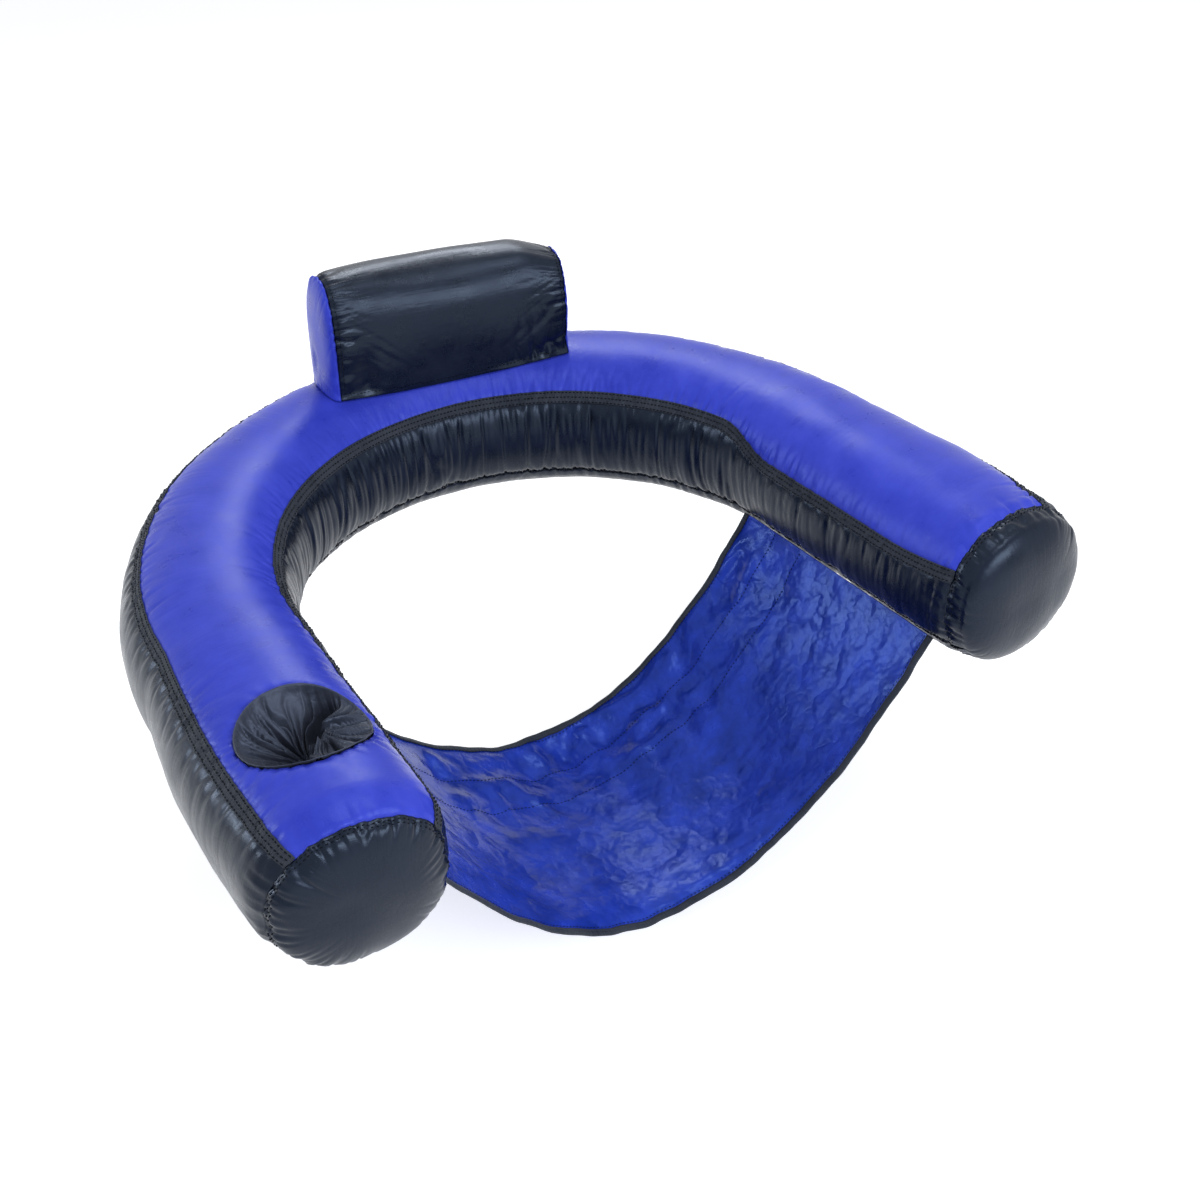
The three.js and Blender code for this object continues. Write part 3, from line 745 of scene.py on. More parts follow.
class TubePath:
    """The tube's centreline and section."""

    def __init__(self, shape: TubeShape) -> None:
        """Works out tables along the centreline and round the section.

        Args:
            shape: The tube's sizes.
        """
        self.shape = shape
        shares = np.linspace(1.0, 0.0, 400, endpoint=False)
        arm_x = shape.back_half_width + shape.arm_spread * shares
        arm_y = -shape.back_depth - shape.arm_length * shares
        angles = np.linspace(-math.pi / 2, math.pi / 2, 1400)
        back_x = shape.back_half_width * np.sin(angles)
        back_y = shape.back_depth * (np.cos(angles) - 1.0)
        x = np.concatenate([-arm_x, back_x, arm_x[::-1]])
        y = np.concatenate([arm_y, back_y, arm_y[::-1]])
        self.run = totals(np.hypot(np.diff(x), np.diff(y)))
        self.length = float(self.run[-1])
        self.x, self.y = x, y
        self.share = np.concatenate([-shares, np.zeros_like(angles), shares[::-1]])
        heading = np.unwrap(np.arctan2(np.gradient(y, self.run), np.gradient(x, self.run)))
        even = np.linspace(0.0, self.length, 1200)
        window = np.hanning(61) / np.hanning(61).sum()
        level = np.interp(even, self.run, heading)
        padded = np.pad(level, 30, mode="edge")
        self.heading = (even, np.convolve(padded, window, mode="valid"))
        turns = np.linspace(0.0, math.pi, 2000)
        across, up = power_curve(turns, shape.power)
        steps = np.hypot(np.diff(across) * shape.half_width, np.diff(up) * shape.half_height)
        polars = np.linspace(0.0, math.pi / 2, 400)
        advance, scale = power_curve(polars, shape.cap_power)
        steps_over = np.hypot(np.diff(advance) * shape.cap_bulge, np.diff(scale) * shape.half_width)
        self.over_dome = (totals(steps_over), polars)
        self.dome_reach = float(self.over_dome[0][-1])
        self.turns = turns
        self.girths = totals(steps)
        self.half_girth = float(self.girths[-1])

    def arm_share(self, along: Array) -> Array:
        """-1 at the cup arm's end, 0 round the back, 1 at the far arm's end."""
        return np.interp(along, self.run, self.share)

    def girth(self, turn: Array) -> Array:
        """Length round the section from its top, outwards positive."""
        wrapped = (np.asarray(turn) + math.pi) % (2 * math.pi) - math.pi
        return np.sign(wrapped) * np.interp(np.abs(wrapped), self.turns, self.girths)

    def turn_at(self, girth: Array) -> Array:
        """The turn at a length round the section, which may pass the bottom.

        Args:
            girth: Lengths from the top, outwards positive.

        Returns:
            Turns in radians.
        """
        whole = 2 * self.half_girth
        wrapped = (np.asarray(girth) + self.half_girth) % whole - self.half_girth
        turn = np.sign(wrapped) * np.interp(np.abs(wrapped), self.girths, self.turns)
        return turn + 2 * math.pi * np.round((np.asarray(girth) - wrapped) / whole)

    def inner_seam(self, along: Array) -> Array:
        """The inner seam's turn, which drifts down along the cup arm and falls at once on the far one.

        Args:
            along: Places along the tube.

        Returns:
            Turns in radians.
        """
        shape = self.shape
        drift = shape.seam_drift * np.sin(np.abs(self.arm_share(along)) * math.pi / 2)
        past_bend = along - self.length + shape.arm_length
        fall = shape.far_inner_fall * smooth_step((past_bend + 0.10) / 0.10)
        fall = fall + shape.far_inner_rise * smooth_step((past_bend - 0.19) / 0.11)
        return shape.inner_seam + np.where(along > self.length / 2, fall, drift)

    def outer_seam(self, along: Array) -> Array:
        """The outer seam's turn, which falls and then climbs along the far arm.

        Args:
            along: Places along the tube.

        Returns:
            Turns in radians.
        """
        shape = self.shape
        past_bend = along - self.length + shape.arm_length
        fall = shape.far_outer_fall * smooth_step((past_bend + 0.12) / 0.18)
        return shape.outer_seam + fall + shape.far_outer_rise * smooth_step((past_bend - 0.10) / 0.19)

    def cap_seam(self, side: Side, turn: Array) -> Array:
        """How far a cap's seam lies past the tube's end, round the section.

        Args:
            side: Which arm.
            turn: Turns round the section.

        Returns:
            Distances past the end.
        """
        if side is Side.FAR:
            return np.full_like(turn, -self.shape.far_seam_back)
        return self.shape.cup_seam_tilt * np.cos(turn + 0.35) - 0.001

    def past_cap_seam(self, along: Array, turn: Array) -> Array:
        """Distance past the nearer cap's seam, below zero on the panels."""
        before = -along - self.cap_seam(Side.CUP, turn)
        return np.maximum(before, along - self.length - self.cap_seam(Side.FAR, turn))

    def to_cap_seams(self, along: Array, turn: Array) -> Array:
        """Stretches places along the tube so that its ends fall on the caps' seams."""
        near, far = (np.clip(1.0 - gap / 0.06, 0.0, 1.0) ** 2 for gap in (along, self.length - along))
        return along - self.cap_seam(Side.CUP, turn) * near + self.cap_seam(Side.FAR, turn) * far

    def directions(self, along: Array) -> Tuple[Array, Array]:
        """Level directions forwards along the tube and outwards from it.

        Args:
            along: Places along the tube.

        Returns:
            Both directions, as rows.
        """
        angle = np.interp(along, *self.heading)
        forward = np.stack([np.cos(angle), np.sin(angle), np.zeros_like(angle)], -1)
        outward = np.stack([-np.sin(angle), np.cos(angle), np.zeros_like(angle)], -1)
        return forward, outward

    def centre(self, along: Array) -> Array:
        """Points of the centreline.

        Args:
            along: Places along the tube.

        Returns:
            The points, as rows.
        """
        x = np.interp(along, self.run, self.x)
        y = np.interp(along, self.run, self.y)
        return np.stack([x, y, np.full_like(x, self.shape.centre_height)], -1)

    def section(self, along: Array, turn: Array, offset: float) -> Tuple[Array, Array, Array, Array]:
        """Place and slope on the section.

        Args:
            along: Places along the tube.
            turn: Turns round the section.
            offset: Distance outside the bladder.

        Returns:
            The point's place across and up, and its outward direction across and up.
        """
        shape = self.shape
        unit_across, unit_up = power_curve(turn, shape.power)
        share = np.abs(self.arm_share(along))
        ends = np.minimum(along, self.length - along)
        tuck = shape.end_tuck * np.clip(1.0 - ends / shape.tuck_length, 0.0, 1.0) ** 2
        bulge = np.where(unit_across > 0, shape.arm_bulge * np.sin(math.pi * share), 0.0)
        width = shape.half_width + bulge - tuck + offset
        height = shape.half_height - tuck + offset
        slope_across = np.sign(unit_across) * np.abs(unit_across) ** (shape.power - 1) / width
        slope_up = np.sign(unit_up) * np.abs(unit_up) ** (shape.power - 1) / height
        size = np.hypot(slope_across, slope_up)
        return unit_across * width, unit_up * height, slope_across / size, slope_up / size

    def surface(
        self, along: Array, turn: Array, offset: float, relief: Optional[Relief] = None, lift: Array = 0.0
    ) -> Tuple[Array, Array]:
        """Points on the tube and their outward directions.

        Args:
            along: Places along the tube.
            turn: Turns round the section.
            offset: Distance outside the bladder.
            relief: Folds to add.
            lift: Further distance outwards, one for all or one for each.

        Returns:
            The points and the outward directions.
        """
        along, turn = np.broadcast_arrays(np.asarray(along, float), np.asarray(turn, float))
        held = np.clip(along, 0.0, self.length)
        across, up, slope_across, slope_up = self.section(held, turn, offset)
        _, outward = self.directions(held)
        points = self.centre(held) + outward * across[:, None] + UPWARD * up[:, None]
        normals = outward * slope_across[:, None] + UPWARD * slope_up[:, None]
        for side, past in ((Side.CUP, -along), (Side.FAR, along - self.length)):
            on = past > 0
            polar = np.interp(past[on], *self.over_dome)
            points[on], normals[on] = self.dome(side, turn[on], polar, offset)
        height = np.broadcast_to(lift, len(points))
        if relief is not None:
            height = height + relief.height(along, turn, points)
        return points + normals * height[:, None], normals

    def dome(self, side: Side, turn: Array, polar: Array, offset: float) -> Tuple[Array, Array]:
        """The smooth dome on an arm's end.

        Args:
            side: Which arm.
            turn: Turns round the section.
            polar: 0 at the tube's end to a right angle at the dome's middle.
            offset: Distance outside the bladder.

        Returns:
            The points and the outward directions.
        """
        shape = self.shape
        end = np.full_like(turn, 0.0 if side is Side.CUP else self.length)
        advance, scale = power_curve(polar, shape.cap_power)
        across, up, slope_across, slope_up = self.section(end, turn, offset)
        forward, outward = self.directions(end)
        forward = forward * side.value
        reach = advance * (shape.cap_bulge + offset)
        points = self.centre(end) + outward * (across * scale)[:, None] + UPWARD * (up * scale)[:, None]
        flat = outward * slope_across[:, None] + UPWARD * slope_up[:, None]
        normals = flat * np.cos(polar)[:, None] + forward * np.sin(polar)[:, None]
        return points + forward * reach[:, None], normals

    def cap(self, side: Side, turn: Array, past_end: Array, offset: float, relief: Optional[Relief]) -> Tuple:
        """Points and outward directions on a cap, at distances past the tube's end."""
        along = -past_end if side is Side.CUP else self.length + past_end
        return self.surface(along, turn, offset, relief)


@dataclass(frozen=True)
class Port:
    """A round opening in the cover over a valve, where the surface lies flat."""

    frame: Matrix
    opening: float = 0.019
    facing: float = 0.006
    level_radius: float = 0.027
    blend_radius: float = 0.052
    cover_height: float = 0.0011
    film_height: float = -0.0019
    pocket_radius: float = 0.0110
    pocket_steps: Profile = ((0.0098, -0.0035), (0.0095, -0.018), (0.0095, -0.030))

    def sink_pocket(self, film: Mesh, depth: float) -> None:
        """Sinks the valve's closed pocket into a film.

        Args:
            film: The bladder's film.
            depth: How far below and above the valve's seat the film is cut.
        """
        opening = open_round(film, self.frame, self.pocket_radius, depth)
        sink_well(film, opening, self.frame, self.pocket_steps)
        bmesh.ops.recalc_face_normals(film, faces=film.faces)

    def flatten(self, points: Array, height: float) -> Array:
        """Draws a surface flat round the valve.

        Args:
            points: The surface's points.
            height: The flat's height over the valve's seat plane.

        Returns:
            The points, blended into the flat.
        """
        inward = np.array(self.frame.inverted())
        outward = np.array(self.frame)
        local = points @ inward[:3, :3].T + inward[:3, 3]
        out = np.hypot(local[:, 0], local[:, 1])
        near = np.abs(local[:, 2]) < 0.05
        share = 1.0 - smooth_step((out - self.level_radius) / (self.blend_radius - self.level_radius))
        share = np.where(near, share, 0.0)
        local[:, 2] += (height - local[:, 2]) * share
        return local @ outward[:3, :3].T + outward[:3, 3]


def valve_frame(across: Vector, out: Vector, place: Vector) -> Matrix:
    """A valve's frame, with +Z out of the bladder.

    Args:
        across: Level direction beside the valve.
        out: Direction out of the bladder.
        place: Middle of the valve's seat.

    Returns:
        The frame.
    """
    turn = Matrix((across, out.cross(across), out)).transposed().to_4x4()
    return Matrix.Translation(place) @ turn


# Finishes


def add_node(tree: Tree, kind: str, inputs: Inputs, **settings: object) -> Node:
    """Adds a node to a tree.

    Args:
        tree: The tree.
        kind: The node's type.
        inputs: What each input gets, a value or the socket that it is linked to.
        **settings: The node's own settings, made before its inputs are filled.

    Returns:
        The node.
    """
    node = tree.nodes.new(kind)
    for title, value in settings.items():
        setattr(node, title, value)
    feed(tree, node, inputs)
    return node


def feed(tree: Tree, node: Node, inputs: Inputs) -> None:
    """Fills a node's inputs with values and links.

    Args:
        tree: The tree that gets them.
        node: The node.
        inputs: A value or a socket for each input.
    """
    for title, value in inputs.items():
        if isinstance(value, Socket):
            tree.links.new(value, node.inputs[title])
        else:
            node.inputs[title].default_value = value


def math_node(tree: Tree, operation: str, *values: Union[Socket, float]) -> Socket:
    """A math node's result from sockets or numbers."""
    return add_node(tree, "ShaderNodeMath", dict(enumerate(values)), operation=operation).outputs[0]


def start_material(name: str) -> Tuple[Material, Tree, Node]:
    """A new material, its tree and its shader.

    Args:
        name: Its name.

    Returns:
        The material, its tree and its shader.
    """
    material = bpy.data.materials.new(name)
    material.use_nodes = True
    return material, material.node_tree, material.node_tree.nodes["Principled BSDF"]


@dataclass(frozen=True)
class ClothFinish:
    """A coated cloth: its colours, gloss and relief."""

    name: str
    base: Colour
    faded: Colour
    roughness: float
    sheen: float
    weave: float
    crinkle: float
    crinkle_size: float
    thread: float = 0.0009
    rib: float = 0.0
    creases: float = 1.0
    specular: float = 0.35
    tint: Colour = (0.6, 0.74, 1.0)
    sheen_roughness: float = 0.45
    shade_size: float = 0.035
    # Share of the weave's painted shade in the gaps that darkens the colour.
    gap_shade_share: float = 0.35
    gloss_spread: Tuple[float, float] = (-0.05, 0.09)

    def build(self, groups: "ClothGroups") -> Material:
        """Makes the material.

        Args:
            groups: The shared cloth effects.

        Returns:
            The material.
        """
        material, tree, shader = start_material(self.name)
        weave = groups.place(tree, groups.weave, {"Thread": self.thread})
        crinkle = groups.place(
            tree, groups.crinkle, {"Size": self.crinkle_size, "Creases": self.creases, "Ribs": self.rib}
        )
        gloss = tuple(self.roughness + step for step in self.gloss_spread)
        colour, roughness, _ = groups.vary(tree, self.shade_size, (self.base, self.faded), gloss)
        # Multiplies in the weave's painted shade, darker in the gaps between threads.
        threads = add_node(
            tree, "ShaderNodeMix", {"Factor": self.gap_shade_share, "A": colour, "B": weave.outputs["Gap Shade"]},
            data_type="RGBA", blend_type="MULTIPLY",
        )
        coarse = add_node(tree, "ShaderNodeBump", {
            "Strength": 1.0, "Distance": self.crinkle, "Height": crinkle.outputs["Height"],
        })
        fine = add_node(tree, "ShaderNodeBump", {
            "Strength": 1.0, "Distance": self.weave, "Height": weave.outputs["Height"],
            "Normal": coarse.outputs["Normal"],
        })
        feed(tree, shader, {
            "Base Color": threads.outputs["Result"],
            "Roughness": roughness,
            "Normal": fine.outputs["Normal"],
            "Sheen Weight": self.sheen,
            "Sheen Roughness": self.sheen_roughness,
            "Specular IOR Level": self.specular,
            "Specular Tint": (*self.tint, 1.0),
        })
        return material


@dataclass(frozen=True)
class VinylFinish:
    """Clear or milky soft vinyl."""

    name: str
    base: Colour
    roughness: float
    transmission: float
    ior: float = 1.5
    shade_size: float = 0.012
    darker: float = 0.82
    gloss_shares: Tuple[float, float] = (0.7, 1.4)
    unevenness: float = 0.0002

    def build(self, groups: "ClothGroups") -> Material:
        """Makes the material.

        Args:
            groups: The shared cloth effects, of which vinyl takes the cloudy shade.

        Returns:
            The material.
        """
        material, tree, shader = start_material(self.name)
        colours = (self.base, tuple(value * self.darker for value in self.base))
        gloss = tuple(self.roughness * share for share in self.gloss_shares)
        colour, roughness, mask = groups.vary(tree, self.shade_size, colours, gloss)
        bump = add_node(tree, "ShaderNodeBump", {"Distance": self.unevenness, "Height": mask})
        feed(tree, shader, {
            "Base Color": colour,
            "Roughness": roughness,
            "Normal": bump.outputs["Normal"],
            "Transmission Weight": self.transmission,
            "IOR": self.ior,
        })
        return material


class ClothGroups:
    """Node groups for weave, crinkles and shade, shared by the finishes."""

    def __init__(self) -> None:
        """Builds the three groups."""
        self.weave = self._weave()
        self.crinkle = self._crinkle()
        self.shade = self._shade()

    @staticmethod
    def _group(name: str, inputs: Dict[str, float], outputs: Dict[str, str]) -> Tuple[Tree, Node, Node]:
        """A new shader group with number inputs.

        Args:
            name: The group's name.
            inputs: Default of each input.
            outputs: Socket type of each output.

        Returns:
            The tree, its input node and its output node.
        """
        tree = bpy.data.node_groups.new(name, "ShaderNodeTree")
        for title, value in inputs.items():
            socket = tree.interface.new_socket(title, in_out="INPUT", socket_type="NodeSocketFloat")
            socket.default_value = value
        for title, kind in outputs.items():
            tree.interface.new_socket(title, in_out="OUTPUT", socket_type=kind)
        return tree, tree.nodes.new("NodeGroupInput"), tree.nodes.new("NodeGroupOutput")

    @staticmethod
    def _cloth_axes(tree: Tree) -> Tuple[Socket, Socket]:
        """The cloth's own two directions, in metres.

        Args:
            tree: The tree that gets them.

        Returns:
            The sockets along warp and weft.
        """
        source = add_node(tree, "ShaderNodeUVMap", {}, uv_map=CLOTH_MAP)
        parts = add_node(tree, "ShaderNodeSeparateXYZ", {"Vector": source.outputs["UV"]})
        return parts.outputs["X"], parts.outputs["Y"]

    def _weave(self) -> Tree:
        """Plain weave: threads over and under, with painted shade that darkens the gap between them.

        Returns:
            The group.
        """
        # Painted shade: the gaps between threads take the darker tone, read from the weave's height.
        painted_gap_shade, thread_tone = (0.72, 0.72, 0.74, 1.0), (1.0, 1.0, 1.0, 1.0)
        tree, given, result = self._group(
            "plain weave with painted gap shade", {"Thread": 0.001}, {"Height": "NodeSocketFloat", "Gap Shade": "NodeSocketColor"}
        )
        rate = math_node(tree, "DIVIDE", math.pi, given.outputs["Thread"])
        waves = []
        for axis in self._cloth_axes(tree):
            wave = math_node(tree, "SINE", math_node(tree, "MULTIPLY", axis, rate))
            waves.append(math_node(tree, "ABSOLUTE", wave))
        height = math_node(tree, "MULTIPLY", *waves)
        ramp = add_node(tree, "ShaderNodeValToRGB", {"Fac": height})
        for stop, tone in zip(ramp.color_ramp.elements, (painted_gap_shade, thread_tone)):
            stop.color = tone
        feed(tree, result, {"Height": height, "Gap Shade": ramp.outputs["Color"]})
        return tree

    def _crinkle(self) -> Tree:
        """Small soft creases of thin nylon, and fine ribs square to the cloth's length.

        Returns:
            The group.
        """
        sharpness, ribs_along, ribs_across = 2.4, 300.0, 26.0
        tree, given, result = self._group(
            "nylon crinkle", {"Size": 0.02, "Creases": 1.0, "Ribs": 0.0}, {"Height": "NodeSocketFloat"}
        )
        place = tree.nodes.new("ShaderNodeTexCoord")
        rate = math_node(tree, "DIVIDE", 1.0, given.outputs["Size"])
        bend = add_node(tree, "ShaderNodeTexNoise", {
            "Detail": 3.0, "Vector": place.outputs["Object"], "Scale": rate,
        })
        ridge = math_node(tree, "ABSOLUTE", math_node(tree, "SUBTRACT", bend.outputs["Fac"], 0.5))
        ridge = math_node(tree, "MULTIPLY", ridge, sharpness)
        ridge = math_node(tree, "MULTIPLY", ridge, given.outputs["Creases"])
        warp, weft = self._cloth_axes(tree)
        across = add_node(tree, "ShaderNodeCombineXYZ", {
            "X": math_node(tree, "MULTIPLY", warp, ribs_along),
            "Y": math_node(tree, "MULTIPLY", weft, ribs_across),
        })
        ribs = add_node(tree, "ShaderNodeTexNoise", {
            "Scale": 1.0, "Detail": 1.0, "Vector": across.outputs["Vector"],
        })
        added = math_node(tree, "MULTIPLY", ribs.outputs["Fac"], given.outputs["Ribs"])
        feed(tree, result, {"Height": math_node(tree, "ADD", ridge, added)})
        return tree

    def _shade(self) -> Tree:
        """Cloudy variation, for slight fading and uneven gloss.

        Returns:
            The group.
        """
        tree, given, result = self._group("cloudy shade", {"Size": 0.03}, {"Mask": "NodeSocketFloat"})
        place = tree.nodes.new("ShaderNodeTexCoord")
        rate = math_node(tree, "DIVIDE", 1.0, given.outputs["Size"])
        cloud = add_node(tree, "ShaderNodeTexNoise", {
            "Detail": 4.0, "Roughness": 0.6, "Vector": place.outputs["Object"], "Scale": rate,
        })
        spread = add_node(tree, "ShaderNodeMapRange", {
            "From Min": 0.3, "From Max": 0.7, "Value": cloud.outputs["Fac"],
        })
        feed(tree, result, {"Mask": spread.outputs["Result"]})
        return tree

    @staticmethod
    def place(tree: Tree, group: Tree, values: Dict[str, float]) -> Node:
        """Puts a group into a material, with its inputs' values."""
        return add_node(tree, "ShaderNodeGroup", values, node_tree=group)

    def vary(
        self, tree: Tree, size: float, colours: Tuple[Colour, Colour], gloss: Tuple[float, float]
    ) -> Tuple[Socket, Socket, Socket]:
        """Varies a colour and a roughness with the cloudy shade.

        Args:
            tree: The material's tree.
            size: Size of the clouds.
            colours: The colour outside the clouds and in them.
            gloss: The roughness outside the clouds and in them.

        Returns:
            The colour, the roughness and the shade's mask.
        """
        mask = self.place(tree, self.shade, {"Size": size}).outputs["Mask"]
        mixed = {"A": (*colours[0], 1.0), "B": (*colours[1], 1.0), "Factor": mask}
        colour = add_node(tree, "ShaderNodeMix", mixed, data_type="RGBA")
        spread = {"To Min": gloss[0], "To Max": gloss[1], "Value": mask}
        roughness = add_node(tree, "ShaderNodeMapRange", spread)
        return colour.outputs["Result"], roughness.outputs["Result"], mask


@dataclass
class Wardrobe:
    """The chair's finished materials."""

    groups: ClothGroups = field(default_factory=ClothGroups)

    def __post_init__(self) -> None:
        """Builds each material once."""
        self.blue = ClothFinish(
            "blue nylon", (0.029, 0.045, 0.46), (0.046, 0.066, 0.56), 0.30, 0.0, 0.00004, 0.0004, 0.032,
            rib=0.3, creases=0.3, specular=0.24, tint=(0.5, 0.62, 1.0)
        ).build(self.groups)
        self.sling = ClothFinish(
            "blue sling nylon", (0.008, 0.026, 0.25), (0.022, 0.054, 0.48), 0.21, 0.0, 0.00003, 0.0028, 0.048,
            specular=0.45, tint=(0.28, 0.46, 1.0)
        ).build(self.groups)
        self.black = ClothFinish(
            "black nylon", (0.002, 0.004, 0.010), (0.004, 0.007, 0.016), 0.27, 0.0, 0.00003, 0.0006, 0.028,
            rib=0.25, creases=0.4, specular=0.32
        ).build(self.groups)
        self.lining = ClothFinish(
            "cup lining nylon", (0.024, 0.028, 0.044), (0.044, 0.050, 0.074), 0.38, 0.05, 0.00004, 0.0008,
            0.018, specular=0.35
        ).build(self.groups)
        self.tape = ClothFinish(
            "seam tape", (0.018, 0.021, 0.029), (0.040, 0.045, 0.057), 0.5, 0.05, 0.0003, 0.0007, 0.010,
            thread=0.0018, rib=1.5, specular=0.2
        ).build(self.groups)
        self.thread = ClothFinish(
            "black thread", (0.003, 0.004, 0.006), (0.006, 0.007, 0.010), 0.6, 0.0, 0.0001, 0.0001, 0.004,
            specular=0.1
        ).build(self.groups)
        self.film = VinylFinish("bladder film", (0.62, 0.68, 0.72), 0.22, 0.0).build(self.groups)
        self.vinyl = VinylFinish("clear vinyl", (0.84, 0.87, 0.89), 0.18, 0.55).build(self.groups)


# Sub-assemblies


@dataclass
class TubeCover:
    """The cover of sewn panels, its tapes, end caps and stitching."""

    tube: TubePath
    relief: Relief
    cup: CupShape
    port: Port
    cell_along: float = 0.0021
    cell_across: float = 0.0034
    tape_stitch: Stitch = Stitch(0.0044, 0.0032, 0.00065, lift=0.0002)
    seam_stitch: Stitch = Stitch(0.0040, 0.0046, 0.0009, lift=0.0006)
    cap_stitch: Stitch = Stitch(0.0050, 0.0032, 0.0005, lift=0.0002)
    tape_stitch_rows: Tuple[float, ...] = (-0.0052, 0.0, 0.0052)
    cap_stitch_rows: Tuple[float, ...] = (0.0030, 0.0068)
    cap_cells: Tuple[int, int] = (260, 112)
    lap_width: float = 0.0058
    lap_drop: float = -0.7 * MM

    def _panel(self, low: Seam, high: Seam, finer: float) -> Mesh:
        """A panel between two lengthwise seams.

        Args:
            low: Girth of the first seam along the tube.
            high: Girth of the second seam.
            finer: Share of the usual cell size.

        Returns:
            The panel's mesh.
        """
        tube = self.tube
        middle = np.array([tube.length / 2])
        width = float((high(middle) - low(middle))[0])

        def place(run: Array, rise: Array) -> Array:
            """Points of the panel.

            Args:
                run: Shares along the tube.
                rise: Shares from seam to seam.

            Returns:
                The points.
            """
            along = run * tube.length
            wide = high(along) - low(along)
            turn = tube.turn_at(low(along) + wide * rise)
            lap = np.minimum(rise, 1.0 - rise) * wide / self.lap_width
            along = tube.to_cap_seams(along, turn)
            drop = self.lap_drop * np.exp(-(lap**4))
            points, _ = tube.surface(along, turn, tube.shape.cover_outer, self.relief, drop)
            return self.port.flatten(points, self.port.cover_height)

        cells = (round(tube.length / (self.cell_along * finer)), round(width / (self.cell_across * finer)))
        return sheet_grid(*cells, place, (tube.length, width))

    def _girth_of(self, seam: Seam) -> Seam:
        """A seam's girth along the tube from its turn."""
        return lambda along: self.tube.girth(seam(along))

    def _seams(self) -> Tuple[Seam, Seam, Seam, Seam]:
        """Girths of the inner, outer, lower outer and lower inner seams.

        Returns:
            Four functions of the place along the tube.
        """
        shape = self.tube.shape
        inner = self._girth_of(self.tube.inner_seam)
        outer = self._girth_of(self.tube.outer_seam)
        low_out = self._girth_of(lambda along: np.full_like(along, shape.lower_seam))
        low_in = self._girth_of(lambda along: np.full_like(along, -shape.lower_seam))
        return inner, outer, low_out, low_in

    def panels(self, dress: Wardrobe) -> None:
        """Builds the four lengthwise panels.

        Args:
            dress: The materials.
        """
        wall = self.tube.shape.cloth
        inner, outer, low_out, low_in = self._seams()
        whole = 2 * self.tube.half_girth
        top = self._panel(inner, outer, 1.0)
        open_round(top, self.cup.mouth(), self.cup.mouth_radius, 0.05)
        Piece("cover_top", dress.blue, Slot.BLUE_NYLON, ("top_panel",), wall=wall).add(top)
        side = self._panel(outer, low_out, 1.1)
        open_round(side, self.port.frame, self.port.opening, 0.02)
        Piece("cover_outer_side", dress.black, Slot.BLACK_NYLON, ("outer_side_panel",), wall=wall).add(side)
        within = self._panel(low_in, inner, 1.0)
        Piece("cover_inner_side", dress.black, Slot.BLACK_NYLON, ("inner_side_panel",), wall=wall).add(within)
        under = self._panel(low_out, lambda along: low_in(along) + whole, 1.5)
        Piece("cover_bottom", dress.black, Slot.BLACK_NYLON, ("bottom_panel",), wall=wall).add(under)

    def _tape_points(self, along: Array, girth: Array) -> Tuple[Array, Array]:
        """Points and outward directions on a tape's face.

        Args:
            along: Places along the tube.
            girth: Places round the section, in metres.

        Returns:
            The points and the directions.
        """
        shape = self.tube.shape
        turn = self.tube.turn_at(girth)
        lift = shape.trim_outer - shape.cover_outer
        along = self.tube.to_cap_seams(along, turn)
        return self.tube.surface(along, turn, shape.cover_outer, self.relief, lift)

    def tapes(self, dress: Wardrobe) -> None:
        """Builds the tapes over the upper seams, their stitch rows and the row on the lower inner seam.

        Args:
            dress: The materials.
        """
        tube = self.tube
        wall = tube.shape.cloth
        half = tube.shape.tape_width / 2
        inner, outer, _, low_in = self._seams()
        along = np.linspace(0.002, tube.length - 0.002, 1600)
        for name, seam in (("inner_seam", inner), ("outer_seam", outer)):

            def place(run: Array, rise: Array, seam: Seam = seam) -> Array:
                """Points of the tape.

                Args:
                    run: Shares along the tube.
                    rise: Shares across the tape.
                    seam: The seam under it.

                Returns:
                    The points.
                """
                run = run * tube.length
                wander = 0.0006 * self.relief.soft(run / 0.09, run * 0 + 3.3)
                return self._tape_points(run, seam(run) + wander + (rise * 2.0 - 1.0) * half)[0]

            strip = sheet_grid(round(tube.length / self.cell_along), 8, place, (tube.length, 2 * half))
            Piece(f"{name}_tape_woven", dress.tape, Slot.SEAM_TAPE, (f"{name}_tape",), wall=wall).add(strip)
            rows = bmesh.new()
            for row in self.tape_stitch_rows:
                self.tape_stitch.sew(rows, *self._tape_points(along, seam(along) + row))
            Piece(f"{name}_stitches", dress.thread, Slot.SEAM_TAPE).add(rows)
        turn = tube.turn_at(low_in(along) + 0.0004)
        rows = bmesh.new()
        self.seam_stitch.sew(rows, *tube.surface(along, turn, tube.shape.cover_outer, self.relief))
        Piece("lower_inner_seam_stitches", dress.thread, Slot.BLACK_NYLON).add(rows)

